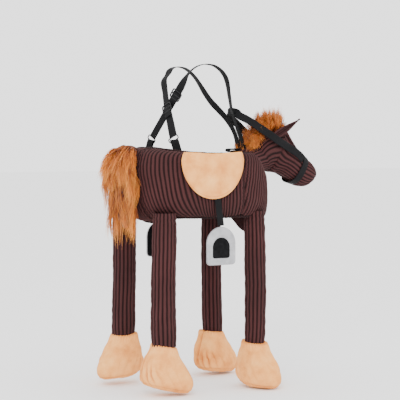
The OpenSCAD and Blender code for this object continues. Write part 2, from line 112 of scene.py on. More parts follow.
def ripple(points, scale, seed, octaves=3):
    """Smooth seeded noise between about -1 and 1, at a wavelength of about scale."""
    rng = np.random.default_rng(seed)
    total = np.zeros(points.shape[:-1])
    for octave in range(octaves):
        for _ in range(5):
            direction = rng.normal(size=3)
            direction /= np.linalg.norm(direction)
            wave = 2 * math.pi * 2**octave / scale * rng.uniform(0.7, 1.3)
            total += np.sin(points @ direction * wave + rng.uniform(0, 6.28)) / 2**octave
    return total / 5


def unit(v):
    v = np.asarray(v, float)
    return v / np.maximum(np.linalg.norm(v, axis=-1, keepdims=True), 1e-9)


def run_along(points):
    """Distance from the first point of a line to each of its points."""
    return np.concatenate([[0], np.cumsum(np.linalg.norm(np.diff(points, axis=0), axis=1))])


def sampled(line, run, at):
    """The line's columns at the distances at, where run holds the distances of its own points."""
    return np.stack([np.interp(at, run, line[:, k]) for k in range(line.shape[1])], axis=1)


def full_turn(count):
    """Angles that divide a whole turn into count steps."""
    return np.linspace(0, 2 * math.pi, count + 1)[:-1]


def facing(normals, direction):
    """Normals turned round wherever they look away from direction."""
    return normals * np.where(np.sum(normals * direction, axis=-1, keepdims=True) < 0, -1, 1)


def relaxed(line, rounds):
    """A line of vectors whose inner ones are averaged with their neighbours, rounds times over."""
    for _ in range(rounds):
        line[1:-1] = (line[:-2] + line[1:-1] + line[2:]) / 3
    return line


def spline(points, count):
    """Catmull-Rom curve through points, resampled to count points at equal distances."""
    p = np.asarray(points, float)
    p = np.vstack([2 * p[0] - p[1], p, 2 * p[-1] - p[-2]])
    fine = []
    u = np.linspace(0, 1, 24, endpoint=False)[:, None]
    for a, b, c, d in zip(p, p[1:], p[2:], p[3:]):
        fine.append(
            0.5 * (2 * b + (c - a) * u + (2 * a - 5 * b + 4 * c - d) * u**2
                   + (3 * b - a - 3 * c + d) * u**3)
        )
    fine = np.vstack(fine + [p[-2][None]])
    run = run_along(fine[:, :3])
    return sampled(fine, run, np.linspace(0, run[-1], count))


# ---------------- mesh helpers
def linked(name, mesh, material, attributes):
    """Object of a mesh, with its point attributes and its material."""
    for key, values in (attributes or {}).items():
        layer = mesh.attributes.new(key, "FLOAT", "POINT")
        layer.data.foreach_set("value", np.asarray(values, np.float32).ravel())
    mesh.materials.append(material)
    obj = bpy.data.objects.new(name, mesh)
    bpy.context.scene.collection.objects.link(obj)
    return obj


def new_object(name, verts, faces, material, attributes=None, smooth_shade=True):
    """Object made of faces that all have the same number of corners."""
    mesh = bpy.data.meshes.new(name)
    verts = np.asarray(verts, np.float32)
    faces = np.asarray(faces, np.int32)
    mesh.vertices.add(len(verts))
    mesh.vertices.foreach_set("co", verts.ravel())
    size = faces.shape[1]
    mesh.loops.add(faces.size)
    mesh.loops.foreach_set("vertex_index", faces.ravel())
    mesh.polygons.add(len(faces))
    mesh.polygons.foreach_set("loop_start", np.arange(0, faces.size, size, dtype=np.int32))
    mesh.polygons.foreach_set("use_smooth", np.full(len(faces), smooth_shade))
    mesh.update(calc_edges=True)
    mesh.validate()
    return linked(name, mesh, material, attributes)


def grid_quads(rows, cols, wrap_rows=False, wrap_cols=False, start=0):
    r = np.arange(rows if wrap_rows else rows - 1)
    c = np.arange(cols if wrap_cols else cols - 1)
    r, c = np.meshgrid(r, c, indexing="ij")
    r2, c2 = (r + 1) % rows, (c + 1) % cols
    quads = np.stack([r * cols + c, r2 * cols + c, r2 * cols + c2, r * cols + c2], axis=-1)
    return quads.reshape(-1, 4) + start


def surface_normals(p, wrap_rows=False, wrap_cols=False):
    def gradient(axis, wrap):
        if wrap:
            return np.roll(p, -1, axis) - np.roll(p, 1, axis)
        return np.gradient(p, axis=axis)

    n = np.cross(gradient(0, wrap_rows), gradient(1, wrap_cols))
    return unit(n)


def shell(name, p, material, thick, normals=None, wrap_cols=False, wrap_rows=False, attributes=None):
    """Closed sheet of a given thickness: p is its outer face, with rows x cols points."""
    rows, cols = p.shape[:2]
    n = surface_normals(p, wrap_rows, wrap_cols) if normals is None else normals
    inner = p - n * thick
    count = rows * cols
    quads = [grid_quads(rows, cols, wrap_rows, wrap_cols)]
    quads.append(grid_quads(rows, cols, wrap_rows, wrap_cols, count)[:, ::-1])
    index = np.arange(count).reshape(rows, cols)

    def rim(line, closed):
        a, b = line, np.roll(line, -1)
        if not closed:
            a, b = a[:-1], b[:-1]
        return np.stack([a, a + count, b + count, b], axis=-1)

    if not wrap_rows:
        quads.append(rim(index[0], wrap_cols)[:, ::-1])
        quads.append(rim(index[-1], wrap_cols))
    if not wrap_cols:
        quads.append(rim(index[:, 0], wrap_rows))
        quads.append(rim(index[:, -1], wrap_rows)[:, ::-1])
    twice = {k: np.concatenate([np.ravel(v), np.ravel(v)]) for k, v in (attributes or {}).items()}
    verts = np.concatenate([p.reshape(-1, 3), inner.reshape(-1, 3)])
    return finish_mesh(new_object(name, verts, np.concatenate(quads), material, twice))


def solid(name, rings, material, attributes=None, closed=False):
    """Solid through rings (rows x cols points). Fans cap its two ends, unless it closes on itself."""
    rows, cols = rings.shape[:2]
    verts = rings.reshape(-1, 3)
    quads = grid_quads(rows, cols, closed, True)
    if closed:
        return finish_mesh(new_object(name, verts, quads, material, attributes))
    first, last = np.full(cols, len(verts)), np.full(cols, len(verts) + 1)
    i = np.arange(cols)
    j = (i + 1) % cols
    top = (rows - 1) * cols
    fans = np.concatenate([np.stack([first, i, j], axis=-1), np.stack([last, top + j, top + i], axis=-1)])
    verts = np.vstack([verts, rings[0].mean(0), rings[-1].mean(0)])
    attributes = {k: np.concatenate([np.ravel(v), [np.mean(v[0]), np.mean(v[-1])]])
                  for k, v in (attributes or {}).items()}
    mesh = bpy.data.meshes.new(name)
    mesh.from_pydata([tuple(v) for v in verts], [], [tuple(q) for q in quads] + [tuple(t) for t in fans])
    mesh.update()
    mesh.polygons.foreach_set("use_smooth", np.ones(len(mesh.polygons), bool))
    return finish_mesh(linked(name, mesh, material, attributes))


def finish_mesh(obj):
    """Makes the faces look outwards."""
    bm = bmesh.new()
    bm.from_mesh(obj.data)
    bmesh.ops.recalc_face_normals(bm, faces=bm.faces)
    bm.to_mesh(obj.data)
    bm.free()
    return obj


def join_parts(name, parts, material):
    """One object from several (verts, faces) pairs of equal face size."""
    verts, faces, base = [], [], 0
    for v, f in parts:
        verts.append(v)
        faces.append(np.asarray(f) + base)
        base += len(v)
    return new_object(name, np.vstack(verts), np.vstack(faces), material)


# ---------------- materials
def nodes_of(name):
    material = bpy.data.materials.new(name)
    material.use_nodes = True
    tree = material.node_tree
    return material, tree, tree.nodes["Principled BSDF"]


def link(tree, a, b):
    tree.links.new(a, b)


def set_inputs(node, **values):
    """Sets input values of a shader node; an underscore in a name stands for a space."""
    for name, value in values.items():
        node.inputs[name.replace("_", " ")].default_value = value


def texture_space(tree, scale=(1, 1, 1)):
    coordinates = tree.nodes.new("ShaderNodeTexCoord")
    mapping = tree.nodes.new("ShaderNodeMapping")
    set_inputs(mapping, Scale=scale)
    link(tree, coordinates.outputs["Object"], mapping.inputs["Vector"])
    return mapping.outputs["Vector"]


def noise(tree, vector, scale, detail=3.0, roughness=0.5):
    node = tree.nodes.new("ShaderNodeTexNoise")
    set_inputs(node, Scale=scale, Detail=detail, Roughness=roughness)
    link(tree, vector, node.inputs["Vector"])
    return node.outputs["Fac"]


def ramp(tree, value, stops):
    node = tree.nodes.new("ShaderNodeValToRGB")
    while len(node.color_ramp.elements) < len(stops):
        node.color_ramp.elements.new(0.5)
    for element, (place, colour) in zip(node.color_ramp.elements, stops):
        element.position = place
        element.color = (*colour, 1)
    link(tree, value, node.inputs["Fac"])
    return node.outputs["Color"]


def feed(tree, socket, value):
    """Gives a socket a number, a colour or a link."""
    if isinstance(value, (int, float)):
        socket.default_value = value
    elif isinstance(value, tuple):
        socket.default_value = (*value, 1)
    else:
        link(tree, value, socket)


def math_node(tree, operation, a, b=0.0):
    node = tree.nodes.new("ShaderNodeMath")
    node.operation = operation
    feed(tree, node.inputs[0], a)
    feed(tree, node.inputs[1], b)
    return node.outputs[0]


def multiplied(tree, a, b):
    """Product of two colours."""
    node = tree.nodes.new("ShaderNodeMix")
    node.data_type = "RGBA"
    node.blend_type = "MULTIPLY"
    for number, value in ((0, 1.0), (6, a), (7, b)):
        feed(tree, node.inputs[number], value)
    return node.outputs[2]


def bumped(tree, shader, height, strength, distance):
    node = tree.nodes.new("ShaderNodeBump")
    set_inputs(node, Strength=strength, Distance=distance)
    link(tree, height, node.inputs["Height"])
    link(tree, node.outputs["Normal"], shader.inputs["Normal"])


def attribute(tree, name):
    node = tree.nodes.new("ShaderNodeAttribute")
    node.attribute_name = name
    return node.outputs["Fac"]


def cloth_shader(shader, roughness, sheen, sheen_roughness, tint, specular=0.2):
    set_inputs(shader, Roughness=roughness, Sheen_Weight=sheen, Sheen_Roughness=sheen_roughness,
               Sheen_Tint=(*tint, 1), Specular_IOR_Level=specular)


def corduroy_material():
    """Ribbed cotton whose colour follows the rib height: painted shade in the grooves and a painted highlight
    on the crowns, with a fine pile across each rib.
    """
    material, tree, shader = nodes_of("corduroy")
    space = texture_space(tree)
    wear = noise(tree, space, 26, 4, 0.6)
    height = math_node(tree, "ADD", attribute(tree, "wale"), math_node(tree, "MULTIPLY", wear, 0.22))
    # Painted shade in the grooves and a painted highlight on the rib crowns, read from the wale attribute.
    colour = ramp(tree, height, [
        (0.28, (0.0050, 0.0007, 0.0009)), (0.66, (0.013, 0.0026, 0.0027)),
        (0.90, (0.033, 0.0085, 0.0086)), (1.0, (0.048, 0.0145, 0.0145))])
    tone = ramp(tree, noise(tree, space, 9, 2), [(0.35, (0.84, 0.82, 0.82)), (0.68, (1.10, 1.06, 1.06))])
    link(tree, multiplied(tree, colour, tone), shader.inputs["Base Color"])
    cloth_shader(shader, 0.88, 0.035, 0.35, (0.75, 0.50, 0.48))
    pile = noise(tree, texture_space(tree, (1, 1, 0.45)), 900, 2, 0.7)
    bumped(tree, shader, pile, 0.35, 0.0008)
    return material


def plush_material():
    """Short tan velboa pile, brushed this way and that, with painted shade in its creases."""
    material, tree, shader = nodes_of("plush")
    space = texture_space(tree)
    brushed = noise(tree, space, 22, 5, 0.62)
    colour = ramp(tree, brushed, [(0.30, (0.68, 0.245, 0.055)), (0.50, (0.84, 0.360, 0.095)),
                                  (0.72, (0.93, 0.460, 0.145))])
    # Painted shade: the crease attribute darkens the plush in its creases, seams and along its piping.
    shade = ramp(tree, attribute(tree, "crease"), [(0.0, (1, 1, 1)), (1.0, (0.62, 0.42, 0.28))])
    link(tree, multiplied(tree, colour, shade), shader.inputs["Base Color"])
    cloth_shader(shader, 0.95, 0.10, 0.4, (1.0, 0.80, 0.58))
    fine = math_node(tree, "ADD", noise(tree, space, 420, 3, 0.7),
                     math_node(tree, "MULTIPLY", brushed, 1.6))
    bumped(tree, shader, fine, 0.5, 0.0016)
    return material


def fur_material():
    """Long pile: each lock has its own shade, darker at the root and paler at the tip."""
    material, tree, shader = nodes_of("fur")
    along = ramp(tree, attribute(tree, "along"), [
        (0.0, (0.050, 0.009, 0.001)), (0.25, (0.26, 0.062, 0.006)),
        (0.62, (0.62, 0.185, 0.018)), (1.0, (0.90, 0.380, 0.065))])
    lock = ramp(tree, attribute(tree, "lock"), [
        (0.0, (0.22, 0.11, 0.07)), (0.35, (0.72, 0.55, 0.45)), (1.0, (1.25, 1.25, 1.25))])
    link(tree, multiplied(tree, along, lock), shader.inputs["Base Color"])
    cloth_shader(shader, 0.55, 0.04, 0.4, (1.0, 0.8, 0.5), 0.35)
    return material


def webbing_material():
    """Charcoal polypropylene webbing with a cross weave and a ribbed edge."""
    material, tree, shader = nodes_of("webbing")
    along, across = attribute(tree, "along"), attribute(tree, "across")
    weft = math_node(tree, "SINE", math_node(tree, "MULTIPLY", along, 2 * math.pi / WEFT_STEP))
    warp = math_node(tree, "SINE", math_node(tree, "MULTIPLY", across, 2 * math.pi / WARP_STEP))
    weave = math_node(tree, "MULTIPLY", weft, warp)
    colour = ramp(tree, math_node(tree, "ADD", math_node(tree, "MULTIPLY", weave, 0.25), 0.5),
                  [(0.2, (0.0012, 0.0012, 0.0015)), (0.8, (0.0045, 0.0045, 0.0055))])
    soft = ramp(tree, noise(tree, texture_space(tree), 35, 3),
                [(0.3, (0.8, 0.8, 0.8)), (0.7, (1.3, 1.3, 1.3))])
    link(tree, multiplied(tree, colour, soft), shader.inputs["Base Color"])
    cloth_shader(shader, 0.75, 0.004, 0.3, (0.7, 0.7, 0.75), 0.15)
    bumped(tree, shader, weave, 0.35, 0.0004)
    return material


def plain_material(name, low, high, scale, roughness, bump_strength=0.2, bump_distance=0.0005, **extra):
    """A material whose colour drifts between two tones, with fine surface grain."""
    material, tree, shader = nodes_of(name)
    space = texture_space(tree)
    colour = ramp(tree, noise(tree, space, scale, 4, 0.6), [(0.32, low), (0.70, high)])
    link(tree, colour, shader.inputs["Base Color"])
    set_inputs(shader, Roughness=roughness, **extra)
    bumped(tree, shader, noise(tree, space, scale * 30, 2, 0.6), bump_strength, bump_distance)
    return material


CORDUROY = corduroy_material()
PLUSH = plush_material()
FUR = fur_material()
WEBBING = webbing_material()
LINING = plain_material("lining", (0.014, 0.004, 0.004), (0.026, 0.008, 0.008), 30, 0.95,
                        Specular_IOR_Level=0.1)
PLASTIC = plain_material("buckle_plastic", (0.003, 0.003, 0.0035), (0.008, 0.008, 0.009), 60, 0.42,
                         0.1, 0.0002, Specular_IOR_Level=0.2)
FELT = plain_material("felt", (0.003, 0.003, 0.0035), (0.008, 0.008, 0.009), 90, 0.95, 0.6, 0.0010,
                      Specular_IOR_Level=0.1)
SILVER = plain_material("silver_fabric", (0.30, 0.30, 0.315), (0.44, 0.44, 0.455), 45, 0.36, 0.5, 0.0012,
                        Metallic=0.5)
EYE = plain_material("eye_plastic", (0.004, 0.003, 0.003), (0.010, 0.008, 0.007), 30, 0.08, 0.02, 0.0001)
WADDING = plain_material("wadding", (0.72, 0.71, 0.68), (0.88, 0.87, 0.84), 40, 0.95, 0.8, 0.002)
SILVER_THREAD = plain_material("silver_thread", (0.50, 0.50, 0.53), (0.72, 0.72, 0.75), 200, 0.4)


# ---------------- corduroy
def wale_height(phase):
    """Rounded rib profile: 0 in the groove and 1 on the crown."""
    x = np.abs(2 * (phase - np.floor(phase)) - 1)
    return (1 - x**2) ** 0.75


def add_wales(p, n, phase, strength):
    """Cuts the grooves between ribs into a surface, and gives the height of the ribs."""
    wale = wale_height(phase)
    return p + n * (WALE_DEPTH * (wale - 1) * strength)[..., None], wale


# ---------------- the body ring
BODY_X, BODY_L, BODY_W = -0.001, 0.466, 0.364
WAIST_X, WAIST_L, WAIST_W = 0.030, 0.270, 0.250
FLANK_TOP, HEM_H = 0.700, 0.516
CHEST_EDGE, RUMP_EDGE = math.radians(75), math.radians(165)


def plan_exponent(t):
    """The ring is a little squarer at the rump."""
    return 2.6 - 0.3 * np.cos(t)


def outer_plan(t):
    c, s = superellipse(t, plan_exponent(t))
    return np.stack([BODY_X + c * BODY_L / 2, s * BODY_W / 2], axis=-1)


def waist_plan(t):
    c, s = superellipse(t, 2.3)
    return np.stack([WAIST_X + c * WAIST_L / 2, s * WAIST_W / 2], axis=-1)


def top_height(t):
    return FLANK_TOP + 0.017 * np.maximum(0, -np.cos(t)) ** 2 - 0.052 * smooth(np.cos(t), 0.50, 0.97)


def hem_height(t):
    rear = np.maximum(0, -np.cos(t)) ** 12
    front = np.maximum(0, np.cos(t)) ** 14
    return HEM_H - 0.018 * rear - 0.058 * front


def ring_point(t, a, depth=0.0):
    """Point on the ring: t goes round the waist, a round its section, depth goes inwards."""
    t, a = np.broadcast_arrays(t, a)
    outer, waist = outer_plan(t), waist_plan(t)
    half = np.linalg.norm(outer - waist, axis=-1) / 2
    direction = (outer - waist) / (2 * half[..., None])
    c, s = superellipse(a, 3.0)
    centre = (outer + waist) / 2
    half_z = (top_height(t) - hem_height(t)) / 2
    tuck = 0.034 * np.maximum(0, -np.cos(t)) ** 3 * ((1 - s) / 2) ** 2
    r = (half - depth) * c
    x = centre[..., 0] + r * direction[..., 0] + tuck
    y = centre[..., 1] + r * direction[..., 1]
    z = h((top_height(t) + hem_height(t)) / 2 + (half_z - depth) * s)
    return np.stack([x, y, z], axis=-1)


def even_angles(t0, t1, step):
    """Angles round the waist whose outer points are an equal distance apart, and the distances."""
    fine = np.linspace(t0, t1, 4001)
    plan = outer_plan(fine)
    run = run_along(plan)
    count = max(8, int(round(run[-1] / step)))
    at = np.linspace(0, run[-1], count + 1)
    return np.interp(at, run, fine), at


def even_section(t, a0, a1, rows):
    """Section angles at nearly equal distances along the ring's skin."""
    fine = np.linspace(a0, a1, 800)
    line = ring_point(np.full_like(fine, t), fine)
    run = run_along(line)
    return np.interp(np.linspace(0, run[-1], rows), run, fine)


def slant(x):
    """How far the ribs lean forward on their way down the flank."""
    return (0.10 + 0.15 * bump(x, -0.080, 0.060)) * (1 - smooth(x, -0.04, 0.04))


def body_panel(name, nodes, t0, t1, lean=0.0, fan=False):
    lap = math.radians(0.35)
    t, run = even_angles(t0 - lap, t1 + lap, WALE / WALE_STEPS)
    a = even_section((t0 + t1) / 2, math.radians(-84), math.radians(90), 46)
    tt, aa = np.meshgrid(t, a, indexing="ij")
    p = ring_point(tt, aa)
    n = surface_normals(p)
    if (n[len(t) // 2, 20] @ np.array([*outer_plan(t[len(t) // 2]) - [BODY_X, 0], 0])) < 0:
        n = -n
    drop = h(FLANK_TOP) - p[..., 2]
    s = np.broadcast_to(run[:, None], tt.shape)
    phase = s / WALE
    if lean:
        phase = (s - lean * slant(p[..., 0]) * drop) / WALE
    if fan:
        middle = run[-1] / 2
        phase = (s - middle) / WALE * (1 + 0.9 * (0.10 - drop)) + 0.5
    low = smooth(-drop, -0.19, -0.12)
    wobble = 0.0020 * ripple(p, 0.16, 11) + 0.0010 * ripple(p, 0.05, 12)
    phase = phase + 0.16 * ripple(p, 0.11, 13)
    edge = np.minimum(s, run[-1] - s)
    pinch = -0.0045 * bump(edge, 0, 0.006)
    pucker = 0.0016 * bump(edge, 0.010, 0.012) * np.sin(p[..., 2] * 620 + 3 * ripple(p, 0.05, 14))
    hem_tuck = -0.003 * (1 - low) * (0.5 + 0.5 * ripple(p, 0.045, 15))
    p = p + n * (wobble + pinch + pucker + hem_tuck)[..., None]
    flat = smooth(edge, 0.000, 0.004)
    p, wale = add_wales(p, n, phase, strength=0.25 + 0.75 * flat)
    # The wale attribute also carries painted shade: it is lowered along the seams, darkening their pinch on
    # top of the painted groove shade.
    obj = shell(name, p, CORDUROY, COVER_T, n, attributes={"wale": wale * (0.3 + 0.7 * flat)})
    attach(obj, "horse_body")
    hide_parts(*nodes)
    return obj


def ring_tube(name, node, a_mid, radius, material, ribs, depth=0.0, seed=1):
    """Bound edge: a soft tube that runs right round the ring at one section angle."""
    t = full_turn(900)
    centre = ring_point(t, np.full_like(t, a_mid), depth)
    tangent = unit(np.roll(centre, -1, 0) - np.roll(centre, 1, 0))
    up = np.tile([0, 0, 1.0], (len(t), 1))
    side = unit(np.cross(tangent, up))
    up = unit(np.cross(side, tangent))
    b = full_turn(16)
    gather = 1 + 0.10 * np.sin(ribs * t)[:, None] + 0.10 * ripple(centre, 0.04, seed)[:, None]
    r = radius * gather
    rings = (centre[:, None] + (side[:, None] * np.cos(b)[None, :, None] * 1.15
                                + up[:, None] * np.sin(b)[None, :, None]) * r[..., None])
    # Wale attribute that follows the gathers: painted shade in their pinches and a painted highlight on their
    # swells.
    wale = np.broadcast_to(0.35 + 0.35 * np.sin(ribs * t)[:, None], rings.shape[:2])
    obj = solid(name, rings, material, {"wale": wale, "crease": 0 * wale}, closed=True)
    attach(obj, "horse_body")
    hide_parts(node)
    return obj


def build_body():
    body_panel("rump_cloth", ["rump_panel", "body_filling"], RUMP_EDGE, 2 * math.pi - RUMP_EDGE)
    body_panel("flank_cloth_right", ["flank_right"], 2 * math.pi - RUMP_EDGE, 2 * math.pi - CHEST_EDGE,
               lean=1)
    body_panel("flank_cloth_left", ["flank_left"], CHEST_EDGE, RUMP_EDGE, lean=-1)
    body_panel("chest_cloth", ["chest_panel"], -CHEST_EDGE, CHEST_EDGE, fan=True)
    ring_tube("waist_rim", "waist_binding", math.radians(94), 0.0042, CORDUROY, 150, 0.001, 2)
    ring_tube("belly_rim", "belly_binding", math.radians(271), 0.0048, CORDUROY, 130, 0.001, 3)
    t = full_turn(360)
    a = np.radians(np.linspace(97, 268, 40))
    tt, aa = np.meshgrid(t, a, indexing="ij")
    p = ring_point(tt, aa, 0.001)
    n = surface_normals(p, wrap_rows=True)
    centre = np.stack([np.full(tt.shape, WAIST_X), 0 * tt, p[..., 2]], axis=-1)
    n = facing(n, centre - p)
    p = p + n * (0.0012 * ripple(p, 0.07, 21))[..., None]
    lining = shell("lining_cloth", p, LINING, 0.0012, n, wrap_rows=True)
    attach(lining, "horse_body")
    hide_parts("body_lining")


# ---------------- neck and head
# Stations: x, height, direction of travel in degrees, half depth and half width.
NECK = [(0.156, 0.646, 50, 0.050, 0.084), (0.176, 0.668, 48, 0.046, 0.079), (0.199, 0.680, 42, 0.045, 0.064),
        (0.229, 0.686, 35, 0.047, 0.052), (0.2358, 0.6922, 26, 0.0499, 0.0515),
        (0.2479, 0.7002, 12, 0.0543, 0.051), (0.2631, 0.706, -3, 0.0591, 0.0503),
        (0.2789, 0.7084, -16, 0.0637, 0.0495), (0.290, 0.7088, -23, 0.0672, 0.0495)]
HEAD = [(0.2885, 0.7095, -23, 0.0670, 0.0495), (0.2962, 0.6993, -22.8, 0.0627, 0.0505),
        (0.3102, 0.6870, -22.6, 0.0515, 0.0510), (0.333, 0.675, -24.7, 0.0465, 0.0495),
        (0.359, 0.6595, -25, 0.0456, 0.046), (0.3817, 0.6425, -28, 0.045, 0.042),
        (0.402, 0.6334, -25, 0.0426, 0.0385), (0.4185, 0.6268, -26, 0.0349, 0.034),
        (0.433, 0.6245, -27, 0.0215, 0.024), (0.441, 0.624, -27, 0.0110, 0.013),
        (0.4445, 0.6237, -27, 0.0045, 0.0055), (0.4455, 0.6235, -27, 0.0012, 0.0015)]
HEAD_E = 2.4             # exponent of the section of the head
HEAD_RIBS = 27           # ribs round the neck and the head
EYE_R = 0.005


def station_up(s):
    """Direction across each station's travel, in the plane of the horse's middle."""
    heading = np.radians(s[:, 2])
    return np.stack([-np.sin(heading), 0 * heading, np.cos(heading)], axis=-1)


def station_rings(stations, rows, angles, exponent=HEAD_E):
    """Rings of points along stations; the angle goes from the top (0) round the right side."""
    s = spline(np.array(stations), rows)
    c, q = superellipse(angles, exponent)
    centre = np.stack([s[:, 0], 0 * s[:, 0], h(s[:, 1])], axis=-1)
    return (centre[:, None] + s[:, 3, None, None] * c[None, :, None] * station_up(s)[:, None]
            + s[:, 4, None, None] * q[None, :, None] * ACROSS), s


def corduroy_tube(name, nodes, stations, rows, seed, body, cap=False):
    """Ribbed cover through stations, with a seam along its top and its underside."""
    angles = full_turn(HEAD_RIBS * WALE_STEPS)
    rings, s = station_rings(stations, rows, angles)
    n = surface_normals(rings, wrap_cols=True)
    outward = rings - rings.mean(1, keepdims=True)
    n = facing(n, outward)
    phase = np.broadcast_to(angles / (2 * math.pi) * HEAD_RIBS, rings.shape[:2])
    phase = phase + 0.12 * ripple(rings, 0.09, seed)
    from_top = np.minimum(angles, 2 * math.pi - angles) * s[:, 4, None]
    from_underside = np.abs(angles - math.pi) * s[:, 4, None]
    pinch = -0.0030 * (bump(from_top, 0, 0.004) + bump(from_underside, 0, 0.004))
    soft = 0.0016 * ripple(rings, 0.07, seed + 1) + 0.0007 * ripple(rings, 0.025, seed + 2)
    thin = np.clip(s[:, 4] / 0.03, 0.05, 1)[:, None]
    rings = rings + n * ((pinch + soft) * thin)[..., None]
    rings, wale = add_wales(rings, n, phase, strength=np.clip(s[:, 4] / 0.045, 0.0, 1)[:, None])
    keep = np.broadcast_to(np.clip(s[:, 4] / 0.02, 0.4, 1)[:, None], wale.shape)
    if cap:
        obj = solid(name, rings, CORDUROY, {"wale": wale * keep})
    else:
        obj = shell(name, rings, CORDUROY, COVER_T, n, wrap_cols=True, attributes={"wale": wale * keep})
    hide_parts(*nodes)
    if body:
        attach(obj, body)
    return obj


def leaf(name, node, root, tip, face, half_w, cup, profile, seed):
    """A folded leaf-shaped ear: two layers of corduroy cupped round a dark hollow."""
    root, tip, face = (np.array(v, float) for v in (root, tip, face))
    along = tip - root
    length = np.linalg.norm(along)
    forward = along / length
    face = unit(face - forward * (face @ forward))
    side = np.cross(face, forward)
    u = np.linspace(0, 1, 60)
    v = np.linspace(-1, 1, 61)
    width = half_w * profile(u)
    uu, vv = np.meshgrid(u, v, indexing="ij")
    fold = cup * width[:, None] * (np.abs(vv) ** 1.6)
    p = (root + forward * (uu * length)[..., None]
         + side * (vv * width[:, None] * (1 - 0.25 * cup))[..., None] + face * fold[..., None])
    p = p - face * (0.10 * length * np.sin(math.pi * uu))[..., None] * 0.5
    n = facing(surface_normals(p), -face)
    wale = wale_height(vv * 2.2 + 0.5 + 0.1 * ripple(p, 0.05, seed))
    p = p + n * (0.0016 * (wale - 1))[..., None]
    obj = shell(name, p, CORDUROY, 0.0034, n, attributes={"wale": wale})
    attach(obj, node)
    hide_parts(node)
    return obj


def pricked(u):
    """Half widths of an ear that is widest at its root and runs to a point."""
    return np.clip(1.02 - u, 0, 1) ** 0.75 * (0.85 + 0.35 * np.sin(math.pi * u))


def folded(u):
    """Half widths of an ear that lies along the brow, widest a third of the way along."""
    return np.minimum(0.35 + u * 2.3, np.clip(1.04 - u, 0, 1) * 1.35)


def build_head():
    neck = corduroy_tube("neck_cloth", ["neck_cover", "neck_filling"], NECK, 60, 31, None)
    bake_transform(neck)
    corduroy_tube("head_cloth", ["head_cover", "head_filling"], HEAD, 110, 35, "neck_and_head", cap=True)
    leaf("ear_cloth_right", "ear_right", (0.269, -0.044, h(0.750)), (0.3565, -0.047, h(0.8045)),
         (-0.50, -0.85, 0.20), 0.0165, 0.75, pricked, 41)
    leaf("ear_cloth_left", "ear_left", (0.328, 0.036, h(0.746)), (0.409, 0.037, h(0.704)),
         (-0.30, -0.85, 0.35), 0.0370, 0.25, folded, 42)
    for word in SIDES:
        build_eye(word)


def build_eye(word):
    """Flattened bead at the place of the CAD eye."""
    low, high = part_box("eye_" + word)
    middle = (np.array(low) + np.array(high)) / 2
    u = np.linspace(0.02, math.pi - 0.02, 20)
    uu, vv = np.meshgrid(u, full_turn(32), indexing="ij")
    sphere = np.stack([np.sin(uu) * np.cos(vv), np.sin(uu) * np.sin(vv) * 0.7, np.cos(uu)], axis=-1)
    obj = solid("eye_bead_" + word, middle + EYE_R * sphere, EYE)
    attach(obj, "neck_and_head")
    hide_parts("eye_" + word)


# ---------------- legs and hooves
LEG_Y = 0.127
LEGS = {
    # position along the body, side, diameter, seam height, toe turn and toe dip in degrees
    "front_right": (0.143, RIGHT, 0.062, 0.139, -78, 6),
    "front_left": (0.143, LEFT, 0.062, 0.142, 14, 6),
    "hind_right": (-0.165, RIGHT, 0.073, 0.149, -12, 12),
    "hind_left": (-0.165, LEFT, 0.073, 0.155, -165, 6),
}
LEG_TOP = 0.530


def build_leg(key, index):
    """Stuffed leg, pinched at the hoof's seam and creased where it is sewn to the body."""
    x, side, d, seam, *_ = LEGS[key]
    ribs = int(round(math.pi * d / WALE))
    z = np.linspace(seam - 0.003, LEG_TOP, 120)
    angles = full_turn(ribs * WALE_STEPS)
    zz, aa = np.meshgrid(z, angles, indexing="ij")
    share = (zz - seam) / (LEG_TOP - seam)
    radius = d / 2 * (1 + 0.035 * np.sin(3.1 * share + index) - 0.05 * smooth(share, 0.86, 0.99)
                      - 0.04 * (1 - smooth(share, 0.0, 0.06)))
    rough = np.stack([radius * np.cos(aa), radius * np.sin(aa), zz], axis=-1)
    sway = 0.0025 * np.sin(4.0 * share + 1.7 * index)
    radius = radius + 0.0012 * ripple(rough, 0.10, 50 + index) + 0.0009 * ripple(rough, 0.03, 60 + index)
    fold = smooth(share, 0.86, 0.97) * 0.0011 * np.sin(zz * 330 + 2 * np.sin(aa) + index)
    radius = radius + fold
    n = np.stack([np.cos(aa), np.sin(aa), 0 * aa], axis=-1)
    p = np.stack([x + sway + radius * np.cos(aa), side * LEG_Y + radius * np.sin(aa), h(zz)], axis=-1)
    phase = aa / (2 * math.pi) * ribs + 0.18 * ripple(rough, 0.22, 70 + index)
    edge = smooth(zz, seam - 0.002, seam + 0.004)
    p, wale = add_wales(p, n, phase, strength=0.4 + 0.6 * edge)
    obj = shell("leg_cloth_" + key, p, CORDUROY, COVER_T, n, wrap_cols=True, attributes={"wale": wale})
    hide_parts("leg_" + key, "leg_filling_" + key)
    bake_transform(obj)


HOOF_L, HOOF_W, HOOF_H = 0.160, 0.106, 0.126
# Height, place along the toe, half length and half width, as shares of the hoof's size, top to sole.
HOOF = [(1.0, 0.0, 0.214, 0.345), (0.95, 0.006, 0.240, 0.370), (0.82, 0.035, 0.292, 0.392),
        (0.64, 0.08, 0.378, 0.440), (0.46, 0.125, 0.455, 0.475), (0.28, 0.16, 0.497, 0.495),
        (0.12, 0.178, 0.478, 0.475), (0.045, 0.192, 0.415, 0.415), (0.012, 0.20, 0.300, 0.310),
        (0.0, 0.205, 0.15, 0.16), (0.0, 0.205, 0.02, 0.02)]


def turned(points, turn, dip):
    """Points turned by the hoof's dip about Y and then its turn about Z."""
    a, b = math.radians(dip), math.radians(turn)
    about_y = np.array([[math.cos(a), 0, math.sin(a)], [0, 1, 0], [-math.sin(a), 0, math.cos(a)]])
    about_z = np.array([[math.cos(b), -math.sin(b), 0], [math.sin(b), math.cos(b), 0], [0, 0, 1]])
    return points @ (about_z @ about_y).T


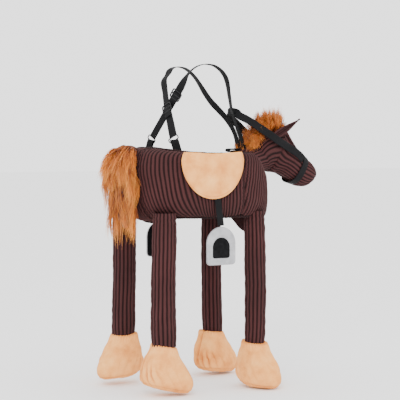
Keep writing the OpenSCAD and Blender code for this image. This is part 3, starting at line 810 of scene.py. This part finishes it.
def build_hoof(key, index):
    """Plush hoof: gathered at its rim and over its heel, with a seam up the middle of the heel."""
    x, side, _, seam, turn, dip = LEGS[key]
    rows, cols = 110, 200
    s = spline(np.array(HOOF) * [HOOF_H, HOOF_L, HOOF_L, HOOF_W], rows)
    a = full_turn(cols)
    c, q = superellipse(a, 2.25)
    p = np.stack([s[:, 1, None] + s[:, 2, None] * c, s[:, 3, None] * q,
                  np.broadcast_to(s[:, 0, None] - HOOF_H, (rows, cols))], axis=-1)
    n = surface_normals(p, wrap_cols=True)
    outward = p - np.stack([s[:, 1], 0 * s[:, 1], s[:, 0] * 0 - HOOF_H * 0.55], axis=-1)[:, None]
    n = facing(n, outward)
    level = s[:, 0, None] / HOOF_H
    heel = np.abs(np.angle(np.exp(1j * (a - math.pi)))) * np.ones((rows, 1))
    arc = heel * s[:, 3, None]
    rng = np.random.default_rng(80 + index)
    # gathers over the heel, where the cover is drawn in to the sole
    zone = bump(level, 0.30, 0.20) * (bump(heel, 0.55, 0.50) + 0.25 * bump(heel, 1.6, 0.8))
    gather = np.abs(np.sin(heel * 9 + 2.2 * level * 3 + rng.uniform(0, 3)
                           + 0.8 * ripple(p, 0.05, 90 + index)))
    crease = zone * (1 - gather) ** 2
    middle_seam = bump(arc, 0.0, 0.0035) * smooth(level, 0.10, 0.2)
    sole_edge = bump(level, 0.075, 0.022)
    rim = bump(level, 1.0, 0.03)
    rim_gather = 0.0014 * smooth(level, 0.80, 0.98) * np.sin(a * 26 + 2 * ripple(p, 0.04, 95 + index))
    soft = 0.0030 * ripple(p, 0.085, 100 + index) + 0.0011 * ripple(p, 0.03, 105 + index, 2)
    tiny = np.clip(s[:, 3, None] / 0.02, 0, 1)
    lift = (soft - 0.0095 * crease - 0.0035 * middle_seam - 0.0022 * sole_edge + rim_gather) * tiny
    p = p + n * lift[..., None]
    # Painted shade in the heel gathers, along the middle seam and the sole edge, and at the rim under the
    # leg.
    painted_shade = np.clip(0.9 * crease + 0.55 * middle_seam + 0.35 * sole_edge + 0.5 * rim, 0, 1)
    p = turned(p, turn, dip)
    p = p + [x, side * LEG_Y, h(seam)]
    obj = solid("hoof_plush_" + key, p, PLUSH, {"crease": painted_shade})
    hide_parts("hoof_" + key, "hoof_filling_" + key)
    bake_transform(obj)


# ---------------- fur
def fur(name, roots, directions, lengths, comb, clump_of, rng, width, curl, droop=0.6, shade=1.0):
    """Tapered three-sided strands that leave the skin along directions and bend to the comb direction.

    Strands of one lock share a wandering offset, and draw together towards its tip."""
    count = len(roots)
    segments = 5
    s = np.linspace(0, 1, segments + 1)
    locks = clump_of.max() + 1
    lock_root = np.zeros((locks, 3))
    lock_size = np.zeros(locks)
    np.add.at(lock_root, clump_of, roots)
    np.add.at(lock_size, clump_of, 1)
    lock_root /= np.maximum(lock_size, 1)[:, None]
    wander = rng.normal(size=(locks, 3)) * curl
    sway = rng.normal(size=(locks, 3)) * curl * 0.6
    own = rng.normal(size=(count, 3)) * curl * 0.30
    paths = np.zeros((count, segments + 1, 3))
    paths[:, 0] = roots
    for k in range(1, segments + 1):
        bend = s[k] ** droop
        d = unit(directions * (1 - bend) + comb * bend)
        paths[:, k] = paths[:, k - 1] + d * (lengths / segments)[:, None]
    for k in range(1, segments + 1):
        gather = 0.55 * s[k] ** 1.4
        centre = lock_root[clump_of] + (paths[:, k] - roots)
        paths[:, k] += (centre - paths[:, k]) * gather
        paths[:, k] += (wander[clump_of] * s[k] ** 1.5 + sway[clump_of] * math.sin(math.pi * s[k])
                        + own * s[k])
    tangent = unit(np.gradient(paths, axis=1))
    helper = unit(rng.normal(size=(count, 1, 3)))
    side = unit(np.cross(tangent, helper))
    other = np.cross(tangent, side)
    taper = width * (1 - 0.92 * s**1.5)[None, :, None]
    ring = [paths + (side * math.cos(angle) + other * math.sin(angle)) * taper * 0.5
            for angle in (0, 2 * math.pi / 3, 4 * math.pi / 3)]
    verts = np.stack(ring, axis=2).reshape(-1, 3)
    per = (segments + 1) * 3
    base = np.arange(count)[:, None, None] * per
    k = np.arange(segments)[None, :, None] * 3
    i = np.arange(3)[None, None, :]
    j = (i + 1) % 3
    quads = np.stack([base + k + i, base + k + j, base + k + 3 + j, base + k + 3 + i], axis=-1).reshape(-1, 4)
    tone = np.clip(rng.beta(2.2, 1.6, locks)[clump_of] + rng.normal(size=count) * 0.10, 0, 1) * shade
    along = np.broadcast_to(s[None, :, None], (count, segments + 1, 3))
    lock = np.broadcast_to(tone[:, None, None], (count, segments + 1, 3))
    return new_object(name, verts, quads, FUR, {"along": along, "lock": lock})


def nearest_lock(roots, locks, rng):
    """Gives every strand the lock whose seed is nearest to its root."""
    seeds = roots[rng.choice(len(roots), locks, replace=False)]
    best = np.zeros(len(roots), int)
    for start in range(0, len(roots), 2000):
        chunk = roots[start:start + 2000]
        best[start:start + 2000] = np.argmin(((chunk[:, None] - seeds[None]) ** 2).sum(-1), axis=1)
    return best


TAIL_CORE = [(-0.204, 0.714, 165, 0.007, 0.036), (-0.217, 0.715, 175, 0.008, 0.050),
             (-0.229, 0.707, 222, 0.008, 0.057), (-0.235, 0.690, 252, 0.008, 0.061),
             (-0.238, 0.650, 268, 0.008, 0.062), (-0.239, 0.600, 271, 0.009, 0.058),
             (-0.235, 0.555, 276, 0.010, 0.050), (-0.229, 0.515, 279, 0.010, 0.040),
             (-0.225, 0.485, 280, 0.004, 0.014)]


def tail_backing():
    """Dark backing under the fur of the tail."""
    rings, s = station_rings(TAIL_CORE, 60, full_turn(48), 2.0)
    obj = solid("tail_backing", rings, FUR, {"along": np.full(rings.shape[:2], 0.05),
                                             "lock": np.full(rings.shape[:2], 0.3)})
    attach(obj, "tail")
    return rings, s


def build_tail():
    rng = np.random.default_rng(7)
    rings, s = tail_backing()
    count = 6400
    row = rng.uniform(0.2, 1, count) ** 0.85 * (len(rings) - 2)
    row[: count // 4] = rng.uniform(1.5, 18, count // 4)
    angle = rng.uniform(0, 2 * math.pi, count)
    k = row.astype(int)
    centre = rings[k].mean(1) + (rings[k + 1].mean(1) - rings[k].mean(1)) * (row - k)[:, None]
    heading = np.radians(s[k, 2])
    roots = (centre + station_up(s[k]) * (s[k, 3] * np.cos(angle))[:, None]
             + ACROSS * (s[k, 4] * np.sin(angle))[:, None])
    out = unit((roots - centre) * [0.45, 1, 1])
    down_path = np.stack([np.cos(heading), 0 * heading, np.sin(heading)], axis=-1)
    near_side = np.where(out[:, 1:2] < 0, 1.0, 0.5)
    directions = unit(out * [0.25, 0.55, 0.25] * near_side + down_path * 0.9 + [-0.10, 0, 0])
    flare = np.where(out[:, 1] < 0, 0.34, 0.10) * smooth(row, 20, 34) * (1 - smooth(row, 44, 54))
    comb = unit(down_path * 0.30 + [0.02, 0, -1.2] + out * [0.03, 0.08, 0] + [0.10, -1.0, 0] * flare[:, None]
                + rng.normal(size=(count, 3)) * 0.05)
    lengths = rng.uniform(0.065, 0.105, count) * (0.55 + 0.45 * smooth(row, 4, 22))
    lengths = lengths * (1 + 0.15 * smooth(row, 40, 58))
    locks = nearest_lock(roots, 420, rng)
    obj = fur("tail_fur", roots, directions, lengths, comb, locks, rng, 0.0015, curl=0.010)
    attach(obj, "tail")
    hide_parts("tail_hair")


CREST = [(0.188, 0.724, 0.016), (0.200, 0.742, 0.025), (0.216, 0.757, 0.028),
         (0.236, 0.770, 0.028), (0.256, 0.778, 0.028), (0.278, 0.781, 0.028), (0.298, 0.779, 0.026),
         (0.312, 0.772, 0.020)]


def build_mane():
    """The fur strip from the withers over the poll: it falls to the right at first, then stands up."""
    rng = np.random.default_rng(17)
    crest = spline(np.array(CREST), 200)
    split = 0.238
    for name, node, low, high, count, locks in (
        ("mane_fur", "mane", 0.0, split, 3600, 130), ("forelock_fur", "forelock", split, 1.0, 3600, 120)
    ):
        inside = np.where((crest[:, 0] >= low) & (crest[:, 0] < high))[0]
        k = inside[rng.integers(0, len(inside), count)]
        angle = rng.uniform(-1.25, 1.25, count)
        radius = crest[k, 2]
        x = crest[k, 0] + rng.uniform(-0.0015, 0.0015, count)
        y = -radius * np.sin(angle)
        z = h(crest[k, 1]) - radius * (1 - np.cos(angle)) * 0.9
        roots = np.stack([x, y, z], axis=-1)
        out = unit(np.stack([0 * x, -np.sin(angle), np.cos(angle)], axis=-1) + unit([-0.35, 0, 1.0]) * 0.3)
        if name == "mane_fur":
            fall = (1 - smooth(x, 0.205, 0.250))[:, None]
            comb = unit(fall * np.array([-0.20, -0.35, -1.0]) + (1 - fall) * (out + [0, 0, 0.3])
                        + rng.normal(size=(count, 3)) * 0.16)
            directions = unit(out + fall * np.array([-0.35, -0.4, 0.1]))
            lengths = rng.uniform(0.024, 0.044, count)
        else:
            fan = ((x - 0.280) / 0.04)[:, None] * np.array([0.45, 0, 0])
            comb = unit(out * 0.8 + [0, 0, 0.75] + fan + rng.normal(size=(count, 3)) * 0.14)
            directions = unit(out + [0, 0, 0.35])
            lengths = rng.uniform(0.036, 0.062, count) * (1 - 0.55 * np.abs(angle) / 1.25)
        obj = fur(name, roots, directions, lengths, comb, nearest_lock(roots, locks, rng), rng, 0.0014,
                  curl=0.006, droop=0.9, shade=0.62)
        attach(obj, "neck_and_head")
        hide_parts(node)


# ---------------- webbing
def band_rings(points, normals, width, thick=WEB_T, closed=False):
    """Rings of a flat band with rounded edges, whose outer face looks along normals."""
    p = np.asarray(points, float)
    if closed:
        tangent = unit(np.roll(p, -1, 0) - np.roll(p, 1, 0))
    else:
        tangent = unit(np.gradient(p, axis=0))
    n = unit(normals)
    side = unit(np.cross(tangent, n))
    n = unit(np.cross(side, tangent))
    across = np.array([-0.5, -0.47, -0.36, 0.0, 0.36, 0.47, 0.5, 0.47, 0.36, 0.0, -0.36, -0.47])
    lift = np.array([0.0, 0.42, 0.5, 0.46, 0.5, 0.42, 0.0, -0.42, -0.5, -0.46, -0.5, -0.42])
    width = np.broadcast_to(width, len(p))
    thick = np.broadcast_to(thick, len(p))
    rings = (p[:, None] + side[:, None] * (across[None] * width[:, None])[..., None]
             + n[:, None] * (lift[None] * thick[:, None])[..., None])
    run = run_along(p)
    attributes = {"along": np.broadcast_to(run[:, None], rings.shape[:2]),
                  "across": np.broadcast_to(across[None] * width[:, None], rings.shape[:2])}
    return rings, attributes


def band(name, points, normals, width, body, nodes=(), thick=WEB_T, closed=False):
    """Webbing along points, which stands for nodes and rides on body if one is given."""
    rings, attributes = band_rings(points, normals, width, thick, closed)
    obj = solid(name, rings, WEBBING, attributes, closed)
    if nodes:
        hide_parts(*nodes)
    if body:
        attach(obj, body)
    return obj


TAB = np.array([-0.101, -0.068, 0.743])
BLADE = np.array([-0.054, 0.054, 0.918])
RING_REACH = 0.0065
RING_W, RING_H, RING_R = 0.031, 0.0120, 0.0016
SLIDER_W, SLIDER_H, SLIDER_R = 0.0325, 0.0255, 0.0022
TAB_LEAN = math.radians(34)
TAB_W, TAB_T = 0.0245, 0.0018
OUTER_SHIFT = 0.012
CROWN = [(-0.046, 0.066, 0.938), (-0.032, 0.077, 0.953), (-0.013, 0.084, 0.961), (0.006, 0.086, 0.962),
         (0.026, 0.088, 0.958), (0.046, 0.089, 0.946), (0.062, 0.087, 0.930)]
OVER_CHEST = [(0.073, 0.082, 0.912), (0.084, 0.072, 0.888), (0.098, 0.057, 0.859), (0.114, 0.039, 0.834),
              (0.132, 0.024, 0.808), (0.150, 0.015, 0.777), (0.163, 0.014, 0.748), (0.170, 0.014, 0.716)]


def back_point(share, side):
    """Point of a strap on the wearer's back, listed for the left shoulder."""
    run = BLADE - TAB
    p = TAB + unit(run) * (RING_REACH + 0.0012) * (1 - share) + run * share
    if side == LEFT:
        p = p - [OUTER_SHIFT * min(1, share * 1.6), 0, 0]
    return p


def back_turn(y):
    """How far a strap on the wearer's back faces round to the right, in radians."""
    return np.radians(17 + 23 * smooth(-y, -0.03, 0.06))


def strap_points(side, count):
    route = [back_point(f, side) for f in np.linspace(0, 1, 6)] + [np.array(p) for p in CROWN + OVER_CHEST]
    p = spline(np.array(route) * [1, side, 1], count)
    forward = np.where(p[:, 0] > 0, np.maximum(p[:, 0], 0.02), np.minimum(p[:, 0], -0.001))
    turn = np.minimum(forward, 0) * np.tan(back_turn(p[:, 1])) * (1 - smooth(p[:, 2], 0.90, 0.94))
    n = np.stack([forward, turn, np.maximum(0, p[:, 2] - 0.890) * 1.5], axis=-1)
    return p - [0, 0, CROWN_H], relaxed(n, 6)


STITCH_L, STITCH_GAP, STITCH_R, STITCH_LIFT = 0.0034, 0.0008, 0.0007, 0.0004


def rounded_frame(width, height, radius):
    """Closed path of a rounded rectangle in its own (across, up) plane."""
    corners = [(1, 1, 0), (-1, 1, 90), (-1, -1, 180), (1, -1, 270)]
    path = []
    for cx, cy, start in corners:
        for a in np.radians(np.linspace(start, start + 90, 7)):
            path.append(((width / 2 - radius) * cx + radius * math.cos(a),
                         (height / 2 - radius) * cy + radius * math.sin(a)))
    return np.array(path)


def rod_mesh(path, radius, flat=1.0, closed=True, normal=None):
    """Verts and quads of a rod along a path of 3-D points, flattened along normal."""
    p = np.asarray(path, float)
    tangent = unit(np.roll(p, -1, 0) - np.roll(p, 1, 0)) if closed else unit(np.gradient(p, axis=0))
    n = np.broadcast_to(unit(normal), p.shape)
    side = unit(np.cross(tangent, n))
    b = full_turn(12)
    rings = (p[:, None] + side[:, None] * (np.cos(b) * radius)[None, :, None]
             + n[:, None] * (np.sin(b) * radius * flat)[None, :, None])
    return rings.reshape(-1, 3), grid_quads(len(p), len(b), closed, True)


def frame_buckle(name, node, body, centre, across, up, out, width, height, bars, radius):
    """Moulded plastic frame with straight cross bars."""
    parts = []
    path = rounded_frame(width, height, 0.0035)
    place = centre + path[:, :1] * across + path[:, 1:] * up
    parts.append(rod_mesh(place, radius, 0.95, True, out))
    for level in bars:
        line = np.linspace(-width / 2, width / 2, 14)[:, None] * across + centre + up * level
        v, f = rod_mesh(line, radius * 1.05, 0.8, False, out)
        parts.append((v, f))
    obj = join_parts(name, parts, PLASTIC)
    finish_mesh(obj)
    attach(obj, body)
    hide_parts(node)
    return obj


def stitches(name, points, normals, body, material):
    """Row of thread stitches along a path."""
    run = run_along(points)
    parts = []
    u = np.linspace(0, 1, 5)
    fat = STITCH_R * np.sqrt(np.clip(1 - (2 * u - 1) ** 4, 0.08, 1))
    b = full_turn(6)
    for start in np.arange(0, run[-1] - STITCH_L, STITCH_L + STITCH_GAP):
        at = start + u * STITCH_L
        n = unit(sampled(normals, run, at))
        line = sampled(points, run, at) + n * (STITCH_LIFT * np.sin(math.pi * u))[:, None]
        side = unit(np.cross(unit(line[-1] - line[0]), n[2]))
        round_it = side * np.cos(b)[:, None] + n[2] * np.sin(b)[:, None]
        rings = line[:, None] + round_it[None] * fat[:, None, None]
        parts.append((rings.reshape(-1, 3), grid_quads(5, 6, False, True)))
    obj = join_parts(name, parts, material)
    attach(obj, body)


def build_straps():
    for word, side in SIDES.items():
        p, n = strap_points(side, 170)
        band("strap_" + word, p, n, STRAP_W, "horse_body", ["shoulder_strap_" + word])
        place_ring(word, side)
        place_slider(word, side)


def place_ring(word, side):
    """Ring and webbing tab at one side of the rump; side is that of the tab."""
    centre = np.array([TAB[0], side * abs(TAB[1]), h(TAB[2])])
    turn = float(back_turn(centre[1]))
    out = np.array([-math.cos(turn), -math.sin(turn), 0])
    level = np.array([-math.sin(turn), math.cos(turn), 0])
    up = np.array([0, 0, math.cos(TAB_LEAN)]) - side * math.sin(TAB_LEAN) * level
    across = np.array([0, 0, math.sin(TAB_LEAN)]) + side * math.cos(TAB_LEAN) * level
    frame_buckle("ring_" + word, "strap_ring_" + word, "horse_body", centre, across, up, out,
                 RING_W, RING_H, (), RING_R)
    lower_bar = centre - up * 0.0055
    fall = np.array([0, 0, -1.0]) + side * 0.32 * level
    path = [lower_bar - out * 0.0022 + fall * 0.050, lower_bar - out * 0.0022 + fall * 0.020,
            lower_bar - out * 0.0026 + fall * 0.004, lower_bar + up * 0.0026,
            lower_bar + out * 0.0026 + fall * 0.004, lower_bar + out * 0.0030 + fall * 0.022,
            lower_bar + out * 0.0032 + fall * 0.040]
    p = spline(np.array(path), 60)
    normal = unit(np.cross(unit(np.gradient(p, axis=0)), level))
    band("tab_" + word, p, normal, TAB_W, "horse_body", ["rear_tab_" + word], TAB_T)


def place_slider(word, side):
    share = 0.73 if side == RIGHT else 0.5
    flip = np.array([1, side, 1])
    low, high = back_point(0.2, side) * flip, back_point(0.8, side) * flip
    up = unit(high - low)
    centre = back_point(share, side) * flip - [0, 0, CROWN_H]
    turn = float(back_turn(centre[1]))
    across = unit(np.cross(up, [-math.cos(turn), -math.sin(turn), 0]))
    out = unit(np.cross(across, up))
    if out[0] > 0:
        out = -out
    frame_buckle("adjuster_" + word, "strap_slider_" + word, "slider_" + word, centre + out * 0.0026,
                 across, up, out, SLIDER_W, SLIDER_H, (0.0,), SLIDER_R)
    tail = centre + out * 0.0030 - up * np.linspace(-0.008, 0.032, 16)[:, None]
    band("strap_end_" + word, tail, np.tile(out, (16, 1)), TAB_W, "slider_" + word)


REIN_SIDE = [(0.370, -0.0475, 0.680), (0.354, -0.052, 0.693), (0.334, -0.055, 0.705), (0.310, -0.057, 0.717),
             (0.286, -0.061, 0.729), (0.262, -0.065, 0.741), (0.238, -0.063, 0.756), (0.214, -0.056, 0.772),
             (0.190, -0.048, 0.789), (0.166, -0.042, 0.803), (0.144, -0.036, 0.814), (0.141, -0.027, 0.822)]
REIN_BACK = [(0.136, -0.010, 0.826), (0.136, 0.010, 0.826)]
NOSE_X, NOSE_H, NOSE_TILT = 0.3725, 0.6494, math.radians(-28)
NOSE_HALF_D, NOSE_HALF_W = 0.0488, 0.0452


def build_tack():
    route = REIN_SIDE + REIN_BACK + [(x, -y, z) for x, y, z in reversed(REIN_SIDE)]
    p = spline(np.array(route), 220)
    n = np.stack([np.where(p[:, 0] < 0.142, -1.0, 0), p[:, 1] / 0.030, 0 * p[:, 0]], axis=-1)
    reins = band("rein_band", p - [0, 0, CROWN_H], relaxed(n, 8), REIN_W, None, ["reins"])
    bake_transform(reins)
    c, q = superellipse(full_turn(160), HEAD_E)
    up = np.array([-math.sin(NOSE_TILT), 0, math.cos(NOSE_TILT)])
    centre = np.array([NOSE_X, 0, h(NOSE_H)])
    loop = centre + NOSE_HALF_D * c[:, None] * up + NOSE_HALF_W * q[:, None] * ACROSS
    ahead = np.array([math.cos(NOSE_TILT), 0, math.sin(NOSE_TILT)])
    outward = unit(unit(loop - centre) + 0.2 * ahead)
    band("nose_loop", loop, outward, REIN_W, "neck_and_head", ["noseband"], closed=True)
    # handle on the withers and the tab under the straps
    path = [(0.176, 0, 0.706), (0.164, 0, 0.7065), (0.148, 0, 0.7060), (0.130, 0, 0.7060),
            (0.1240, 0, 0.7090), (0.128, 0, 0.7120), (0.146, 0, 0.7122), (0.162, 0, 0.7125),
            (0.174, 0, 0.7130)]
    p = spline(np.array(path), 70) - [0, 0, CROWN_H]
    normal = unit(np.cross(unit(np.gradient(p, axis=0)), [0, 1.0, 0]))
    band("handle_loop", p, normal, 0.022, "horse_body", ["withers_handle"], thick=0.0052)
    low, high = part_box("front_tab")
    middle = (np.array(low) + np.array(high)) / 2
    line = np.linspace([middle[0], middle[1], low[2] - 0.012], [middle[0], middle[1], high[2]], 12)
    band("front_patch", line, np.tile([1.0, 0, 0], (12, 1)), 0.054, "horse_body", ["front_tab"], 0.004)


# ---------------- saddle and stirrups
FLAP_X, FLAP_L, FLAP_TOP, FLAP_DEPTH = -0.030, 0.198, 0.691, 0.118
FLAP_GAP, FLAP_T = 0.0065, 0.008


def plan_angle(x):
    share = (x - BODY_X) * 2 / BODY_L
    first = np.arccos(signed_power(share, plan_exponent(math.pi / 2) / 2))
    return np.arccos(signed_power(share, plan_exponent(first) / 2))


def section_angle(t, height):
    mid = (top_height(t) + hem_height(t)) / 2
    half = (top_height(t) - hem_height(t)) / 2
    return np.arcsin(np.clip(signed_power((height - mid) / half, 1.5), -1, 1))


def build_flap(word, side):
    """Padded plush flap that swells between its piped edges."""
    cols, rows = 121, 70
    u = np.linspace(-1, 1, cols)
    t = side * plan_angle(FLAP_X + FLAP_L / 2 * u)
    top = np.full(cols, FLAP_TOP) - 0.004 * (1 - u**2) + 0.003
    low = FLAP_TOP - FLAP_DEPTH * np.sqrt(np.clip(1 - np.abs(u) ** 2.1, 0.004, 1))
    v = np.linspace(0, 1, rows)
    height = low[:, None] + (top - low)[:, None] * v[None]
    tt = np.broadcast_to(t[:, None], height.shape)
    aa = section_angle(tt, height)
    inner = ring_point(tt, aa, -FLAP_GAP)
    outer = ring_point(tt, aa, -FLAP_GAP - FLAP_T)
    n = unit(outer - inner)
    ends = np.minimum(1 - np.abs(u)[:, None], 1) * FLAP_L / 2
    edge = np.minimum(np.minimum(height - low[:, None], ends + 0.002), 0.030)
    crown = np.sqrt(np.clip(1 - (1 - np.clip(edge / 0.016, 0, 1)) ** 2, 0, 1))
    thick = 0.0022 + 0.0055 * crown
    soft = 0.0013 * ripple(inner, 0.09, 200 + side) + 0.0006 * ripple(inner, 0.03, 205 + side)
    piping = 0.0012 * bump(edge, 0.0035, 0.0022)
    p = inner + n * (thick + soft * crown + piping)[..., None]
    # Painted shade along a line just inside the piping.
    crease = 0.45 * bump(edge, 0.0075, 0.0018)
    obj = shell("saddle_plush_" + word, p, PLUSH, 0.0024, n, attributes={"crease": crease})
    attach(obj, "saddle_flap_" + word)
    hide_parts("saddle_flap_" + word)


STIRRUP_Y, STIRRUP_X, STIRRUP_TOP = 0.1844, -0.009, 0.489
HANG_X, HANG_Z = -0.024, 0.606
STIRRUP_W, STIRRUP_H = 0.095, 0.110
LEATHER_W = 0.0215


def stirrup_line(width, height, count):
    """Outline of the arch with a straight foot, from the crown clockwise, around (0, 0) at the crown."""
    foot = width * 0.12
    pts = []
    for a in np.linspace(90, -0.01, 40):
        pts.append((width / 2 * math.cos(math.radians(a)),
                    -width / 2 + width / 2 * math.sin(math.radians(a))))
    for a in np.linspace(0, -90, 12):
        pts.append((width / 2 - foot + foot * math.cos(math.radians(a)),
                    foot - height + foot * math.sin(math.radians(a))))
    right = np.array(pts)
    left = right[::-1] * [-1, 1]
    loop = np.vstack([right, left])
    loop = np.vstack([loop, loop[:1]])
    run = run_along(loop)
    return sampled(loop, run, np.linspace(0, run[-1], count + 1)[:-1])


def stirrup_place(side, plane, offset):
    """Points of the stirrup's own (x, z) plane, moved outward by offset."""
    y = np.full(plane.shape[:-1], side * (STIRRUP_Y + offset))
    return np.stack([STIRRUP_X + plane[..., 0], y, h(STIRRUP_TOP) + plane[..., 1]], axis=-1)


def build_stirrup(word, side):
    count = 160
    outline = stirrup_line(STIRRUP_W, STIRRUP_H, count)
    window = stirrup_line(STIRRUP_W * 0.60, STIRRUP_H * 0.54, count) + [0, -0.031]
    centre = np.array([0, -0.060])
    # felt plate: both faces slightly domed
    face = [(0.3, 0.0015), (0.7, 0.0016), (0.94, 0.0013), (0.99, 0.0006)]
    levels = face + [(scale, -offset) for scale, offset in reversed(face)]
    rings = np.stack([stirrup_place(side, centre + (outline - centre) * scale, offset)
                      for scale, offset in levels])
    rings[:, :, 1] += side * 0.0008 * ripple(rings, 0.03, 300)
    plate = solid("stirrup_felt_" + word, rings, FELT)
    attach(plate, "stirrup_" + word)
    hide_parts("stirrup_plate_" + word)
    # silver rim: a flat padded ring on the outer face, with a rolled outer edge
    shares = [0.0, 0.03, 0.12, 0.3, 0.5, 0.7, 0.88, 0.97, 1.0]
    lifts = [0.0018, 0.0034, 0.0040, 0.0038, 0.0036, 0.0038, 0.0041, 0.0036, 0.0004]
    rings = []
    for share, lift in zip(shares, lifts):
        plane = window + (outline * 1.004 - window) * share
        q = stirrup_place(side, plane, lift)
        wrinkle = 0.0005 * ripple(q, 0.018, 310) * (1 if 0.05 < share < 0.98 else 0)
        q[..., 1] += side * wrinkle
        rings.append(q)
    for plane, offset in ((outline * 1.004, -0.0022), (outline * 0.985, -0.0026),
                          (outline * 0.985, 0.0010), (window, 0.0010)):
        rings.append(stirrup_place(side, plane, offset))
    rim = solid("stirrup_silver_" + word, np.stack(rings), SILVER, closed=True)
    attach(rim, "stirrup_" + word)
    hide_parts("stirrup_rim_" + word)
    # line of silver stitching on the back, following the window
    back = stirrup_place(side, np.vstack([window, window[:1]]), -0.0019)
    stitches("stirrup_stitch_" + word, back, np.tile([0, -side, 0.0], (len(back), 1)), "stirrup_" + word,
             SILVER_THREAD)
    # webbing that the stirrup hangs from
    y = side * STIRRUP_Y
    path = spline(np.array([(HANG_X, y, h(HANG_Z + 0.008)), (HANG_X + 0.0005, y, h(HANG_Z - 0.01)),
                            ((HANG_X + STIRRUP_X) / 2, y, h((HANG_Z + STIRRUP_TOP) / 2)),
                            (STIRRUP_X, y, h(STIRRUP_TOP + 0.003))]), 50)
    band("stirrup_web_" + word, path, np.tile([0, side, 0.0], (50, 1)), LEATHER_W, "stirrup_leather_" + word,
         ["stirrup_strap_" + word])


# ---------------- CAD nodes that stay
def dress_fillings():
    for name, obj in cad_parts.items():
        if "filling" in name:
            obj.data.materials.clear()
            obj.data.materials.append(WADDING)
        if name == "tail_dock":
            obj.data.materials.clear()
            obj.data.materials.append(CORDUROY)


# ---------------- stage
def build_stage():
    floor_z = CAD_BOUNDS[0][2] - 0.002
    size = 30
    verts = [(-size, -size, floor_z), (size, -size, floor_z), (size, size, floor_z), (-size, size, floor_z)]
    material, _, shader = nodes_of("pale_floor")
    set_inputs(shader, Base_Color=(0.92, 0.92, 0.92, 1), Roughness=0.9)
    floor = new_object("floor", verts, [(0, 1, 2, 3)], material, smooth_shade=False)
    world = bpy.data.worlds.new("studio")
    world.use_nodes = True
    set_inputs(world.node_tree.nodes["Background"], Color=(1, 1, 1, 1), Strength=2.3)
    bpy.context.scene.world = world

    def area(name, place, target, size, power):
        light = bpy.data.lights.new(name, "AREA")
        light.size = size
        light.energy = power
        obj = bpy.data.objects.new(name, light)
        obj.location = place
        obj.rotation_euler = (Vector(target) - Vector(place)).to_track_quat("-Z", "Y").to_euler()
        bpy.context.scene.collection.objects.link(obj)

    middle = (0, 0, h(0.5))
    area("key", (-2.4, -3.0, 1.6), middle, 1.2, 100)
    area("fill", (2.4, -2.8, 0.6), middle, 2.2, 20)


def build_camera():
    """A long lens behind the horse's right shoulder, a little above its middle."""
    azimuth, distance, height, pitch = math.radians(30), 4.2, 0.728, math.atan(0.04)
    look = np.array([math.sin(azimuth), math.cos(azimuth), 0])
    right = np.array([math.cos(azimuth), -math.sin(azimuth), 0])
    place = -look * distance + right * 0.024 + [0, 0, h(height)]
    forward = look * math.cos(pitch) + np.array([0, 0, -math.sin(pitch)])
    camera = bpy.data.cameras.new("camera")
    camera.sensor_width = 36
    camera.lens = 126
    camera.clip_end = 100
    obj = bpy.data.objects.new("camera", camera)
    obj.location = place
    obj.rotation_euler = Vector(forward).to_track_quat("-Z", "Y").to_euler()
    bpy.context.scene.collection.objects.link(obj)
    bpy.context.scene.camera = obj


build_camera()
build_stage()
build_body()
build_head()
build_mane()
build_tail()
for number, leg_name in enumerate(LEGS):
    build_leg(leg_name, number)
    build_hoof(leg_name, number)
build_straps()
build_tack()
for side_word, side_sign in SIDES.items():
    build_flap(side_word, side_sign)
    build_stirrup(side_word, side_sign)
dress_fillings()
